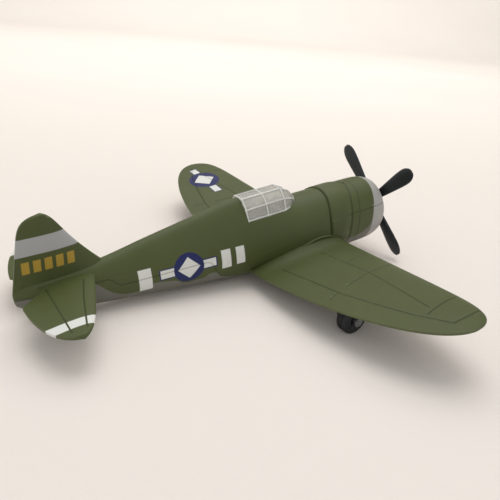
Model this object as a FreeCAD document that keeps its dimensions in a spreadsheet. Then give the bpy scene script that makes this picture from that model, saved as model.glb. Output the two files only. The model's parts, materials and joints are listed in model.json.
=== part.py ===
import FreeCAD, Part
import math
import os
import Sketcher

# Die-cast style model of a radial-engined, low-wing propeller aeroplane, about 1:100.
# Every shape is drawn on the thrust line: X forward from the end of the tail cone,
# Y to port, Z up. The stance placement then sits the model on its three wheels.

Vector = FreeCAD.Vector
Rotation = FreeCAD.Rotation
Placement = FreeCAD.Placement

os.makedirs("parts", exist_ok=True)
doc = FreeCAD.newDocument("propeller_plane")

# ---------------------------------------------------------------- driving dimensions
size = {
    # stance on the resting surface
    "stance_pitch": 7.0, "floor_drop": 13.0, "floor_station": 80.0,
    # casting
    "wall_thick": 1.3, "belly_joint": 46.0,
    "deck_station": 58.0, "lip_station": 100.0, "nose_station": 106.1, "lip_inset": 2.1,
    "throat_width": 6.5, "throat_height": 7.2, "throat_start": 97.0, "cavity_start": 19.0,
    "cabin_roof": 6.2, "sill_height": 7.6,
    # wing planform, section and set
    "semi_span": 62.15, "wing_mid": 83.24, "wing_sweep": 0.115, "wing_front": 6.6,
    "wing_front_power": 17.0, "wing_rear": 25.6, "wing_rear_power": 1.63,
    "wing_height": -7.1, "dihedral": 7.7, "wing_ratio": 0.115, "wing_edge": 0.55,
    "root_station": 8.0, "root_swell": 1.35, "root_reach": 2.3,
    # tailplane
    "tail_span": 24.0, "tail_mid": 9.85, "tail_sweep": 0.04, "tail_front": 8.8,
    "tail_front_power": 0.71, "tail_rear": 9.0, "tail_rear_power": 2.32,
    "tail_height": 4.7, "tail_thick": 1.7, "tail_edge": 0.6,
    "tail_notch": 4.4, "tail_notch_side": 3.5, "tail_notch_end": 7.3,
    # fin and rudder
    "fin_foot": 4.0, "fin_top": 21.3, "fin_mid": 9.6, "fin_front": 11.1, "fin_curve": 1.45,
    "fin_cap": 2.4,
    "fin_rear": 4.9, "fin_rear_cap": 4.7, "fin_thick": 2.2, "fin_edge": 0.6,
    # canopy and cockpit
    "deck_shoulder_side": 5.4, "deck_nose_side": 2.2, "canopy_wall": 0.8,
    "canopy_front": 75.6, "canopy_brow": 73.2, "canopy_shoulder": 70.4,
    "cockpit_back": 59.4, "cockpit_front": 70.4, "cockpit_side": 3.3,
    "tub_floor": 3.8, "tub_top": 7.3, "tub_wall": 0.6,
    "seat_x": 61.4, "seat_long": 2.6, "seat_side": 1.4, "seat_top": 9.6, "seat_pan": 1.2,
    # engine, bush and propeller
    "bulkhead_back": 92.8, "bulkhead_front": 94.0, "case_radius": 2.7, "case_front": 99.4,
    "nose_radius": 1.9, "nose_front": 104.3, "cylinder_count": 9, "cylinder_radius": 0.95,
    "cylinder_reach": 5.7, "cylinder_station": 96.9,
    "bush_radius": 1.3, "bush_front": 105.9, "shaft_radius": 0.8, "running_gap": 0.03,
    "shaft_back": 90.6, "collar_radius": 1.8, "collar_long": 1.2, "end_gap": 0.3,
    "hub_back": 106.3, "hub_radius": 1.95, "hub_front": 109.7, "dome_front": 111.1,
    "blade_plane": 108.2, "blade_radius": 19.8, "blade_root": 2.2, "blade_wide": 5.2,
    "blade_thick": 1.3, "blade_pitch": 95.0, "blade_rest_angle": 47.2, "blade_count": 4,
    # main wheels, axles and struts
    "wheel_x": 66.5, "wheel_track": 36.2, "tyre_radius": 3.7, "tyre_half": 1.6,
    "rim_radius": 2.2, "tyre_round": 0.9, "hub_dish": 0.5,
    "axle_radius": 0.6, "axle_head": 1.15, "axle_head_long": 0.6,
    "strut_thick": 1.5, "strut_half": 1.5, "strut_top": -2.6,
    # tail wheel
    "tail_wheel_x": 15.0, "tail_wheel_radius": 2.0, "tail_wheel_half": 0.8,
    "tail_wheel_room": 0.35, "tail_pin_radius": 0.4, "tail_pin_half": 2.0,
    "tail_slot_deep": 9.0,
    # belly screws and stand socket
    "front_screw_x": 84.0, "front_screw_low": -10.7, "front_boss_foot": -2.3,
    "rear_screw_x": 38.0, "rear_screw_low": -6.5, "rear_boss_foot": -3.3,
     "screw_radius": 0.8, "screw_head": 1.6,
    "screw_head_high": 1.0, "screw_long": 10.0, "boss_radius": 2.2, "boss_long": 18.0,
    "drill_spare": 2.0, "seat_spare": 3.0, "pad_gap": 0.1,
    "socket_x": 70.0, "socket_radius": 3.0, "socket_bore": 1.6, "socket_deep": 5.0,
    "socket_high": 6.2, "socket_low": -10.3, "socket_room_low": -20.0,
    "socket_room_long": 30.0,
}

# Fuselage frames: station, top, bottom, half width, height of the widest line, and
# how much the upper part is pinched in.
body_frames = [
    (0.3, 5.0, 1.4, 0.45, 3.2, 0.0),
    (3.0, 5.9, -0.7, 1.3, 2.6, 0.0),
    (10.0, 6.3, -2.7, 2.5, 1.8, 0.0),
    (20.0, 7.0, -4.5, 3.7, 1.0, 0.1),
    (32.0, 9.1, -6.2, 5.1, 0.3, 0.25),
    (45.0, 11.2, -7.9, 6.6, -0.4, 0.38),
    (58.5, 13.0, -9.6, 8.1, -1.0, 0.42),
    (66.0, 11.0, -10.3, 8.7, -1.1, 0.2),
    (74.0, 9.1, -10.8, 9.0, -1.2, 0.0),
    (82.0, 8.9, -11.0, 9.1, -1.2, 0.0),
    (92.0, 8.9, -11.2, 9.2, -1.2, 0.0),
    (100.0, 8.8, -11.2, 9.2, -1.2, 0.0),
]
frame_words = ("x", "top", "bottom", "half", "wide", "pinch")
for number, frame in enumerate(body_frames):
    for word, amount in zip(frame_words, frame):
        size[f"frame{number}_{word}"] = amount

sheet = doc.addObject("Spreadsheet::Sheet", "Sizes")
for row, (alias, amount) in enumerate(size.items(), start=1):
    sheet.set(f"A{row}", alias)
    sheet.set(f"B{row}", str(amount))
    sheet.setAlias(f"B{row}", alias)
doc.recompute()


def total(text):
    """Value of a signed sum of sheet cells, such as 'hub_front -end_gap'."""
    amount = 0.0
    for word in text.split():
        sign = -1.0 if word.startswith("-") else 1.0
        name = word.lstrip("-")
        amount += sign * (0.0 if name == "zero" else sheet.get(name))
    return amount


def formula(text):
    """The same sum as an expression that the document keeps."""
    words = []
    for word in text.split():
        sign = "-" if word.startswith("-") else "+"
        name = word.lstrip("-")
        words.append(f"{sign} 0" if name == "zero" else f"{sign} Sizes.{name}")
    return " ".join(words).lstrip("+ ")


def cell(name):
    return sheet.get(name)


pitch = math.radians(cell("stance_pitch"))


def floor_height(x):
    """Height of the resting surface under a station, on the thrust line."""
    return -cell("floor_drop") + (cell("floor_station") - x) * math.tan(pitch)


# ------------------------------------------------------------------ document helpers
def plane_of(body, role):
    return next(item for item in body.Origin.OriginFeatures if item.Role == role)


def make_body(name):
    body = doc.addObject("PartDesign::Body", name + "_body")
    body.Label = name
    return body


def outline(body, role, name, points):
    """Closed outline on an origin plane; each corner is bound to the sheet."""
    sketch = body.newObject("Sketcher::SketchObject", name)
    sketch.AttachmentSupport = [(plane_of(body, role), "")]
    sketch.MapMode = "FlatFace"
    places = [Vector(total(across), total(up), 0) for across, up in points]
    count = len(places)
    for index in range(count):
        sketch.addGeometry(Part.LineSegment(places[index], places[(index + 1) % count]))
    for index in range(count):
        following = (index + 1) % count
        sketch.addConstraint(Sketcher.Constraint("Coincident", index, 2, following, 1))
    for index, (across, up) in enumerate(points):
        for kind, text in (("DistanceX", across), ("DistanceY", up)):
            number = sketch.addConstraint(
                Sketcher.Constraint(kind, -1, 1, index, 1, total(text)))
            sketch.setExpression(f"Constraints[{number}]", formula(text))
    return sketch


def turned(name, points, role="XZ_Plane", axis="H_Axis"):
    """A lathe-turned piece: an outline spun about one axis of its sketch."""
    body = make_body(name)
    sketch = outline(body, role, name + "_profile", points)
    spin = body.newObject("PartDesign::Revolution", name + "_spin")
    spin.Profile = sketch
    spin.ReferenceAxis = (sketch, [axis])
    spin.Angle = 360.0
    body.Tip = spin
    return body


def padded(body, name, points, role, depth, offset=None, middle=False):
    sketch = outline(body, role, name + "_outline", points)
    if offset is not None:
        sketch.AttachmentOffset = Placement(Vector(0, 0, offset), Rotation())
    pad = body.newObject("PartDesign::Pad", name + "_pad")
    pad.Profile = sketch
    pad.setExpression("Length", formula(depth))
    pad.Midplane = middle
    body.Tip = pad
    return pad


def cylinder(name, radius, height, base, axis):
    """A tool cylinder from base along axis."""
    tool = doc.addObject("Part::Cylinder", name)
    tool.setExpression("Radius", formula(radius))
    tool.Height = height
    tool.Placement = Placement(base, Rotation(Vector(0, 0, 1), axis))
    return tool


def block(name, low, high):
    """A tool box between two corners."""
    tool = doc.addObject("Part::Box", name)
    tool.Length = high.x - low.x
    tool.Width = high.y - low.y
    tool.Height = high.z - low.z
    tool.Placement = Placement(low, Rotation())
    return tool


def combine(kind, name, base, tools):
    """Cut, fuse or intersect document objects, one after another."""
    result = base
    for number, tool in enumerate(tools):
        step = doc.addObject(kind, f"{name}_{number}")
        step.Base = result
        step.Tool = tool
        result = step
    result.Label = name
    return result


def cut(name, base, tools):
    return combine("Part::Cut", name, base, tools)


def fuse(name, base, tools):
    return combine("Part::Fuse", name, base, tools)


def common(name, base, tool):
    return combine("Part::Common", name, base, [tool])


def form(name, shape):
    """A free-form solid that no primitive fits."""
    item = doc.addObject("Part::Feature", name)
    item.Shape = shape
    return item


# --------------------------------------------------------------------- fuselage forms
frame_points = 14


def frame_wire(x, top, bottom, half, wide, pinch):
    """One fuselage frame: an upper curve from side to side, and a lower one back."""
    def point(step):
        angle = math.pi * (0.5 - step / frame_points)
        rise = math.cos(angle)
        y = half * math.sin(angle)
        if step <= frame_points:
            return Vector(x, y * (1 - pinch * rise * rise), wide + (top - wide) * rise)
        return Vector(x, y, wide + (wide - bottom) * rise)

    upward = Vector(0, 0, 1)
    edges = []
    for first, away in ((0, upward), (frame_points, -upward)):
        curve = Part.BSplineCurve()
        curve.interpolate(Points=[point(first + step) for step in range(frame_points + 1)],
                          InitialTangent=away, FinalTangent=-away)
        edges.append(curve.toShape())
    return Part.Wire(edges)


def hull_frames():
    return [[cell(f"frame{number}_{word}") for word in frame_words]
            for number in range(len(body_frames))]


def cabin_frame(frame):
    """The inside of a frame: a wall thinner all round, under a low round roof."""
    x, top, bottom, half, wide, pinch = frame
    wall = cell("wall_thick")
    return [x, min(top - wall, cell("cabin_roof")), bottom + wall, half - wall, wide, 0.0]


def loft(wires):
    return Part.makeLoft(wires, True, False)


def between(first, second, x):
    """A frame part way between two others."""
    share = (x - first[0]) / (second[0] - first[0])
    return [a + (b - a) * share for a, b in zip(first, second)]


hull = hull_frames()


def lip_frames():
    """The rounded intake lip: frames that close in along a quarter ellipse."""
    found = []
    x, top, bottom, half, wide, pinch = hull[-1]
    steps = 7
    reach = cell("nose_station") - cell("lip_station")
    for step in range(1, steps + 1):
        turn = math.pi / 2 * step / steps
        inset = cell("lip_inset") * (1 - math.cos(turn))
        found.append((x + reach * math.sin(turn), top - inset, bottom + inset,
                      half - inset, wide, pinch))
    return found


fuselage_form = form(
    "fuselage_form", loft([frame_wire(*frame) for frame in hull + lip_frames()]))

inside = [cabin_frame(frame) for frame in hull]
cavity_start = between(inside[2], inside[3], cell("cavity_start"))
cavity_end = between(inside[10], inside[11], cell("throat_start"))
cabin = form("cabin", loft(
    [frame_wire(*frame) for frame in [cavity_start] + inside[4:11] + [cavity_end]]))
throat_centre = hull[-1][4]
throat = form("throat", loft([
    frame_wire(x, throat_centre + cell("throat_height"), throat_centre - cell("throat_height"),
               cell("throat_width"), throat_centre, 0.0)
    for x in (cell("throat_start") - 1.0, cell("lip_station"), cell("nose_station") + 1.0)]))
cavity = fuse("cavity", cabin, [throat])


# -------------------------------------------------------------- wing, tail and fin forms
# Stations where sections are drawn; they crowd towards each rounded tip.
wing_stations = (3.0, 6.0, 8.0, 9.0, 10.0, 11.2, 12.6, 14.5, 20.0, 30.0, 40.0, 48.0, 54.0,
                 58.0, 60.4, 61.6, 62.05)
tail_stations = (3.0, 4.5, 6.0, 7.5, 10.0, 14.0, 18.0, 21.0, 22.8, 23.6, 23.95)
fin_stations = (4.0, 6.5, 9.5, 12.5, 15.5, 18.0, 19.8, 20.7, 21.1, 21.26)
tip_thinning = 0.45
least_share = 0.02


def edge_reach(reach, power, share):
    """How far an edge stands from the middle line, at a share of the span."""
    return reach * math.sqrt(max(0.0, 1 - share ** power))


def section_wire(front_x, rear_x, thick, edge, place, swell=1.0):
    """An aerofoil section with a blunt rear edge; place turns (x, offset) to a point.
    Swell raises the upper side alone."""
    chord = front_x - rear_x
    steps = 11
    upper = []
    for step in range(steps + 1):
        back = (1 - math.cos(math.pi * step / steps)) / 2
        bulge = (0.2969 * math.sqrt(back) - 0.126 * back - 0.3516 * back ** 2
                 + 0.2843 * back ** 3 - 0.1036 * back ** 4) * 5 * thick
        upper.append((front_x - chord * back, bulge + edge / 2 * back))
    points = [place(x, offset * swell) for x, offset in reversed(upper)]
    points += [place(x, -offset) for x, offset in upper[1:]]
    curve = Part.BSplineCurve()
    curve.interpolate(Points=points)
    closing = Part.LineSegment(points[-1], points[0])
    return Part.Wire([curve.toShape(), closing.toShape()])


def both_sides(stations):
    """Stations from the starboard tip to the port tip."""
    return [-y for y in reversed(stations)] + [0.0] + list(stations)


def wing_shape():
    """The whole wing, from tip to tip."""
    span = cell("semi_span")
    rise = math.tan(math.radians(cell("dihedral")))
    wires = []
    for station in both_sides(wing_stations):
        y = abs(station)
        share = y / span
        middle = cell("wing_mid") - cell("wing_sweep") * y
        front_x = middle + edge_reach(cell("wing_front"), cell("wing_front_power"), share)
        rear_x = middle - edge_reach(cell("wing_rear"), cell("wing_rear_power"), share)
        height = cell("wing_height") + y * rise
        chord = front_x - rear_x
        out = max(0.0, y - cell("root_station"))
        swell = 1 + cell("root_swell") * math.exp(-(out / cell("root_reach")) ** 2)
        wires.append(section_wire(
            front_x, rear_x, chord * cell("wing_ratio"), cell("wing_edge"),
            lambda x, offset, y=station, height=height: Vector(x, y, height + offset),
            swell))
    return loft(wires)


def rudder_notch(out):
    """How far the elevator's rear edge is cut away beside the rudder, at a distance out."""
    end = cell("tail_notch_end")
    share = (end - out) / (end - cell("tail_notch_side"))
    return cell("tail_notch") * min(1.0, max(0.0, share))


def tail_shape():
    """The whole tailplane, from tip to tip."""
    span = cell("tail_span")
    wires = []
    for station in both_sides(tail_stations):
        y = abs(station)
        share = max(y / span, least_share)
        middle = cell("tail_mid") - cell("tail_sweep") * y
        front_x = middle + edge_reach(cell("tail_front"), cell("tail_front_power"), share)
        rear_x = middle - edge_reach(cell("tail_rear"), cell("tail_rear_power"), share)
        rear_x += rudder_notch(abs(y))
        thick = cell("tail_thick") * (1 - tip_thinning * share)
        wires.append(section_wire(
            front_x, rear_x, thick, cell("tail_edge"),
            lambda x, offset, y=station: Vector(x, y, cell("tail_height") + offset)))
    return loft(wires)


def fin_shape():
    """Fin and rudder in one, from inside the tail cone to the rounded top."""
    foot, top = cell("fin_foot"), cell("fin_top")
    wires = []
    for z in fin_stations:
        share = (z - foot) / (top - foot)
        front_x = (cell("fin_mid") + cell("fin_front") * (1 - share) ** cell("fin_curve")
                   + cell("fin_cap") * math.sqrt(1 - share ** 9))
        rear_x = (cell("fin_mid") - cell("fin_rear") * (1 - share)
                  - cell("fin_rear_cap") * math.sqrt(1 - share ** 14))
        thick = cell("fin_thick") * (1 - tip_thinning * share)
        wires.append(section_wire(
            front_x, rear_x, thick, cell("fin_edge"),
            lambda x, offset, z=z: Vector(x, offset, z)))
    return loft(wires)


wing_form = form("wing_form", wing_shape())
tailplane_form = form("tailplane_form", tail_shape())
fin_form = form("fin_form", fin_shape())
doc.recompute()

# ------------------------------------------------------------------ places on the model
wheel_z = floor_height(cell("wheel_x")) + cell("tyre_radius") / math.cos(pitch)
tail_wheel_z = (floor_height(cell("tail_wheel_x"))
                + cell("tail_wheel_radius") / math.cos(pitch))
wheel_places = {}
for side, sign in (("port", 1), ("starboard", -1)):
    wheel_places[side] = Vector(cell("wheel_x"), sign * cell("wheel_track"), wheel_z)
tail_wheel_place = Vector(cell("tail_wheel_x"), 0, tail_wheel_z)
strut_inner = total("wheel_track -tyre_half -end_gap -strut_thick")
far = 140.0
belly_joint = cell("belly_joint")

# ----------------------------------------------------------------------- fuselage shells
# The parting line of the castings, seen from the side. It steps down behind the tailplane,
# dives ahead of the belly joint, passes under the wing and climbs again at the cowling.
parting_line = [(-5.0, 3.0), (20.0, 3.0), (22.5, 0.8), (45.3, 0.8), (47.0, -2.6),
                (48.6, -4.8), (58.0, -7.4), (83.5, -7.4), (83.5, 2.4), (far, 2.4)]
below_corners = [Vector(x, -far, z) for x, z in
                 parting_line + [(far, -far), (-5.0, -far), parting_line[0]]]
below = form("below_parting", Part.Face(Part.makePolygon(below_corners)).extrude(
    Vector(0, 2 * far, 0)))
behind_joint = block("behind_joint", Vector(-5, -far, -far), Vector(belly_joint, far, far))
ahead_of_joint = block("ahead_of_joint", Vector(belly_joint, -far, -far), Vector(far, far, far))

screw_holes = {}
screw_seats = {}
for place in ("front", "rear"):
    foot = Vector(cell(place + "_screw_x"), 0, cell(place + "_screw_low"))
    spare = cell("seat_spare")
    screw_holes[place] = cylinder(
        place + "_screw_hole", "screw_radius", total("screw_long drill_spare"), foot,
        Vector(0, 0, 1))
    screw_seats[place] = cylinder(
        place + "_screw_seat", "screw_head", spare + cell("screw_head_high"),
        foot - Vector(0, 0, spare), Vector(0, 0, 1))

# The canopy's deck takes in the whole spine, then narrows with the windscreen to its nose.
deck_edge = [Vector(cell("deck_station"), far, cell("sill_height")),
             Vector(cell("canopy_shoulder"), far, cell("sill_height")),
             Vector(cell("canopy_shoulder"), cell("deck_shoulder_side"), cell("sill_height")),
             Vector(cell("canopy_front"), cell("deck_nose_side"), cell("sill_height"))]
deck_edge += [Vector(point.x, -point.y, point.z) for point in reversed(deck_edge)]
canopy_seat = form("canopy_seat", Part.Face(Part.makePolygon(
    deck_edge + deck_edge[:1])).extrude(Vector(0, 0, far)))
upper_skin = cut("upper_skin", fuselage_form, [below, canopy_seat, cavity])


def screw_boss(place):
    """A screw boss that hangs from the roof of the upper shell."""
    foot = Vector(cell(place + "_screw_x"), 0, cell(place + "_boss_foot"))
    post = cylinder(place + "_boss_post", "boss_radius", cell("boss_long"), foot,
                    Vector(0, 0, 1))
    return common(place + "_boss", post, fuselage_form)


fin_and_skin = fuse("fin_and_skin", upper_skin,
                    [screw_boss("front"), screw_boss("rear"), fin_form])
cockpit_hole = block(
    "cockpit_hole",
    Vector(cell("cockpit_back"), -cell("cockpit_side"), cell("tub_floor")),
    Vector(cell("cockpit_front"), cell("cockpit_side"), far))
upper_fuselage = cut("upper_fuselage", fin_and_skin,
                     [cockpit_hole, tailplane_form, wing_form, screw_holes["front"],
                      screw_holes["rear"]])

# The belly is two castings that meet at a joint aft of the wing.
rear_solid = common("rear_solid", common("rear_lower", fuselage_form, below), behind_joint)
pad_foot = Vector(cell("rear_screw_x"), 0, cell("rear_screw_low"))
belly_pad = cylinder("belly_pad", "boss_radius",
                     total("rear_boss_foot -rear_screw_low -pad_gap"), pad_foot,
                     Vector(0, 0, 1))
rear_skin = fuse("rear_skin", cut("rear_shell", rear_solid, [cavity]), [belly_pad])
tail_slot = block(
    "tail_slot",
    tail_wheel_place - Vector(total("tail_wheel_radius tail_wheel_room"),
                              total("tail_wheel_half tail_wheel_room"),
                              cell("tail_slot_deep")),
    tail_wheel_place + Vector(total("tail_wheel_radius tail_wheel_room"),
                              total("tail_wheel_half tail_wheel_room"),
                              total("tail_wheel_radius tail_wheel_room")))
pin_reach = 2 * cell("tail_pin_half")
tail_pin_hole = cylinder("tail_pin_hole", "tail_pin_radius", 2 * pin_reach,
                         tail_wheel_place - Vector(0, pin_reach, 0), Vector(0, 1, 0))
rear_belly = cut("rear_belly", rear_skin,
                 [tail_slot, tail_pin_hole, screw_holes["rear"], screw_seats["rear"]])

front_solid = common("front_solid", common("front_lower", fuselage_form, below),
                     ahead_of_joint)
socket_room = cylinder("socket_room", "socket_radius", cell("socket_room_long"),
                       Vector(cell("socket_x"), 0, cell("socket_room_low")), Vector(0, 0, 1))
front_belly = cut("front_belly", front_solid,
                  [cavity, wing_form, socket_room, screw_holes["front"], screw_seats["front"]])

# --------------------------------------------------------------------------- wing casting
strut_blocks = {}
for side, sign in (("port", 1), ("starboard", -1)):
    inner = sign * strut_inner
    outer = sign * (strut_inner + cell("strut_thick"))
    strut_blocks[side] = block(
        side + "_strut_pocket",
        Vector(cell("wheel_x") - cell("strut_half"), min(inner, outer), wheel_z),
        Vector(cell("wheel_x") + cell("strut_half"), max(inner, outer), cell("strut_top")))
wing = cut("wing", wing_form,
           [strut_blocks["port"], strut_blocks["starboard"], socket_room,
            screw_holes["front"], screw_seats["front"]])
tailplane = form("tailplane", tailplane_form.Shape.copy())

# ----------------------------------------------------------------------------- canopy


# Half widths and heights of the sill, rail and crown corners at each canopy frame.
canopy_corners = {
    "rear": ((4.9, 7.6), (3.8, 10.6), (1.7, 12.95)),
    "shoulder": ((4.7, 7.6), (3.8, 10.9), (1.7, 13.2)),
    "brow": ((3.6, 7.6), (3.0, 10.0), (1.55, 11.9)),
    "nose": ((2.0, 7.6), (1.5, 8.5), (1.1, 9.2)),
}
crown_inset = 0.6


def canopy_wire(x, frame, inset):
    """Faceted canopy frame: sill, rail and crown corners on both sides."""
    (sill, sill_height), (rail, rail_height), (crown, crown_height) = canopy_corners[frame]
    corners = [(sill - inset, sill_height), (rail - inset, rail_height),
               (crown - inset * crown_inset, crown_height - inset)]
    corners += [(-y, z) for y, z in reversed(corners)]
    return Part.makePolygon([Vector(x, y, z) for y, z in corners + corners[:1]])


def canopy_shape(inset):
    """The canopy mass: a straight hood, then a windscreen that narrows to the nose."""
    back = canopy_wire(cell("deck_station") + inset, "rear", inset)
    shoulder = canopy_wire(cell("canopy_shoulder"), "shoulder", inset)
    brow = canopy_wire(cell("canopy_brow"), "brow", inset)
    nose = canopy_wire(cell("canopy_front") - 2 * inset, "nose", inset)
    hood = Part.makeLoft([back, shoulder], True, True)
    screen = [Part.makeLoft([shoulder, brow], True, True), Part.makeLoft([brow, nose], True, True)]
    return hood.fuse(screen).removeSplitter()


canopy = cut("canopy", form("canopy_outside", canopy_shape(0.0)),
             [form("canopy_inside", canopy_shape(cell("canopy_wall")))])

# --------------------------------------------------------------------- cockpit insert
cockpit_tub = make_body("cockpit_tub")
padded(cockpit_tub, "tub_block",
       [("cockpit_back", "-cockpit_side"), ("cockpit_front", "-cockpit_side"),
        ("cockpit_front", "cockpit_side"), ("cockpit_back", "cockpit_side")],
       "XY_Plane", "tub_top -tub_floor", cell("tub_floor"))
doc.recompute()
tub_well = outline(
    cockpit_tub, "XY_Plane", "tub_well",
    [("cockpit_back tub_wall", "-cockpit_side tub_wall"),
     ("cockpit_front -tub_wall", "-cockpit_side tub_wall"),
     ("cockpit_front -tub_wall", "cockpit_side -tub_wall"),
     ("cockpit_back tub_wall", "cockpit_side -tub_wall")])
tub_well.AttachmentOffset = Placement(Vector(0, 0, cell("tub_top")), Rotation())
well = cockpit_tub.newObject("PartDesign::Pocket", "tub_pocket")
well.Profile = tub_well
well.setExpression("Length", formula("tub_top -tub_floor -tub_wall"))
cockpit_tub.Tip = well

pilot_seat = make_body("pilot_seat")
padded(pilot_seat, "seat_side",
       [("seat_x", "tub_floor tub_wall"), ("seat_x seat_long", "tub_floor tub_wall"),
        ("seat_x seat_long", "tub_floor tub_wall seat_pan"),
        ("seat_x tub_wall", "tub_floor tub_wall seat_pan"),
        ("seat_x tub_wall", "seat_top"), ("seat_x", "seat_top")],
       "XZ_Plane", "seat_side seat_side", middle=True)

# ------------------------------------------------------------------ engine and propeller
bulkhead_slab = block("bulkhead_slab", Vector(cell("bulkhead_back"), -far, -far),
                      Vector(cell("bulkhead_front"), far, far))
bush_hole = cylinder("bush_hole", "bush_radius", far, Vector(0, 0, 0), Vector(1, 0, 0))
engine_bulkhead = cut("engine_bulkhead", common("bulkhead_disc", cabin, bulkhead_slab),
                      [bush_hole])

radial_engine = turned("radial_engine", [
    ("bulkhead_front", "bush_radius"), ("bulkhead_front", "case_radius"),
    ("case_front", "case_radius"), ("case_front tub_wall", "nose_radius"),
    ("nose_front", "nose_radius"), ("nose_front", "bush_radius")])
doc.recompute()
pot_sketch = radial_engine.newObject("Sketcher::SketchObject", "cylinder_foot")
pot_sketch.AttachmentSupport = [(plane_of(radial_engine, "XY_Plane"), "")]
pot_sketch.MapMode = "FlatFace"
pot_sketch.AttachmentOffset = Placement(Vector(0, 0, cell("nose_radius")), Rotation())
pot_sketch.addGeometry(Part.Circle(
    Vector(cell("cylinder_station"), 0, 0), Vector(0, 0, 1), cell("cylinder_radius")))
pot_radius = pot_sketch.addConstraint(
    Sketcher.Constraint("Radius", 0, cell("cylinder_radius")))
pot_sketch.setExpression(f"Constraints[{pot_radius}]", "Sizes.cylinder_radius")
pot = radial_engine.newObject("PartDesign::Pad", "cylinder")
pot.Profile = pot_sketch
pot.setExpression("Length", formula("cylinder_reach -nose_radius"))
ring = radial_engine.newObject("PartDesign::PolarPattern", "cylinder_ring")
ring.Originals = [pot]
ring.Axis = (plane_of(radial_engine, "X_Axis"), [""])
ring.Angle = 360.0
ring.Occurrences = int(cell("cylinder_count"))
radial_engine.Tip = ring

propeller_bush = turned("propeller_bush", [
    ("bulkhead_back", "shaft_radius running_gap"), ("bulkhead_back", "bush_radius"),
    ("bush_front", "bush_radius"), ("bush_front", "shaft_radius running_gap")])

propeller_shaft = turned("propeller_shaft", [
    ("shaft_back", "zero"), ("shaft_back", "shaft_radius"),
    ("hub_front", "shaft_radius"), ("hub_front", "zero")])

shaft_collar = turned("shaft_collar", [
    ("bulkhead_back -end_gap -collar_long", "shaft_radius"),
    ("bulkhead_back -end_gap -collar_long", "collar_radius"),
    ("bulkhead_back -end_gap", "collar_radius"), ("bulkhead_back -end_gap", "shaft_radius")])

propeller = turned("propeller", [
    ("hub_back", "shaft_radius"), ("hub_back", "hub_radius"), ("hub_front", "hub_radius"),
    ("dome_front -tub_wall", "bush_radius"), ("dome_front", "zero"), ("hub_front", "zero"),
    ("hub_front", "shaft_radius")])
doc.recompute()


# The blade widens evenly to a paddle, thins towards the tip and is rounded off there.
paddle_share = 0.86
root_thickening = 1.2
blade_thinning = 0.4
tip_power = 9


def blade_section(radius):
    """One oval blade section, at a radius from the shaft, turned to the blade's pitch."""
    share = (radius - cell("hub_radius")) / (cell("blade_radius") - cell("hub_radius"))
    share = max(0.0, share)
    rounding = math.sqrt(max(0.0, 1 - share ** tip_power))
    spread = min(1.0, share / paddle_share)
    width = (cell("blade_root") + (cell("blade_wide") - cell("blade_root")) * spread) * rounding
    thick = cell("blade_thick") * (root_thickening - blade_thinning * share) * rounding
    sketch = propeller.newObject("Sketcher::SketchObject", "blade_section")
    sketch.AttachmentSupport = [(plane_of(propeller, "XY_Plane"), "")]
    sketch.MapMode = "FlatFace"
    sketch.AttachmentOffset = Placement(
        Vector(cell("blade_plane"), 0, radius),
        Rotation(Vector(0, 0, 1), cell("blade_pitch")))
    sketch.addGeometry(Part.Ellipse(Vector(0, 0, 0), width / 2, thick / 2))
    return sketch


blade_stations = (1.2, 3.0, 6.0, 9.0, 12.0, 14.8, 17.0, 18.4, 19.2, 19.65)
sections = [blade_section(radius) for radius in blade_stations]
blade = propeller.newObject("PartDesign::AdditiveLoft", "blade")
blade.Profile = sections[0]
blade.Sections = sections[1:]
doc.recompute()
fan = propeller.newObject("PartDesign::PolarPattern", "blade_fan")
fan.Originals = [blade]
fan.Axis = (plane_of(propeller, "X_Axis"), [""])
fan.Angle = 360.0
fan.Occurrences = int(cell("blade_count"))
propeller.Tip = fan

# -------------------------------------------------------------------------- main wheels
own_places = {}


def wheel_set(side):
    """Tyre, hub, axle and strut of one main wheel; the axle lies on local Y."""
    sign = 1 if side == "port" else -1
    centre = wheel_places[side]
    turn = Rotation() if sign > 0 else Rotation(Vector(0, 0, 1), 180)
    tyre = turned(side + "_tyre", [
        ("rim_radius", "-tyre_half"), ("tyre_radius -tyre_round", "-tyre_half"),
        ("tyre_radius", "-tyre_half tyre_round"), ("tyre_radius", "tyre_half -tyre_round"),
        ("tyre_radius -tyre_round", "tyre_half"), ("rim_radius", "tyre_half")],
        role="XY_Plane", axis="V_Axis")
    hub = turned(side + "_wheel_hub", [
        ("axle_radius running_gap", "-tyre_half"), ("rim_radius", "-tyre_half"),
        ("rim_radius", "tyre_half"), ("rim_radius -hub_dish", "tyre_half"),
        ("rim_radius -hub_dish -hub_dish", "tyre_half -hub_dish"),
        ("axle_head", "tyre_half -hub_dish"), ("axle_head", "tyre_half"),
        ("axle_radius running_gap", "tyre_half")],
        role="XY_Plane", axis="V_Axis")
    axle = turned(side + "_axle", [
        ("zero", "-tyre_half -end_gap -strut_thick"),
        ("axle_radius", "-tyre_half -end_gap -strut_thick"),
        ("axle_radius", "tyre_half end_gap"), ("axle_head", "tyre_half end_gap"),
        ("axle_head", "tyre_half end_gap axle_head_long"),
        ("zero", "tyre_half end_gap axle_head_long")],
        role="XY_Plane", axis="V_Axis")
    for piece in (tyre, hub, axle):
        own_places[piece.Label] = Placement(centre, turn)
    foot = cylinder(side + "_strut_foot", "strut_half", cell("strut_thick"),
                    Vector(centre.x, sign * strut_inner, centre.z), Vector(0, sign, 0))
    bore = cylinder(side + "_strut_bore", "axle_radius", 3 * cell("strut_thick"),
                    Vector(centre.x, sign * (strut_inner - cell("strut_thick")), centre.z),
                    Vector(0, sign, 0))
    leg = fuse(side + "_leg", strut_blocks[side], [foot])
    strut = cut(side + "_strut", leg, [bore])
    return [tyre, hub, axle, strut]


wheel_pieces = wheel_set("port") + wheel_set("starboard")

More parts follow.
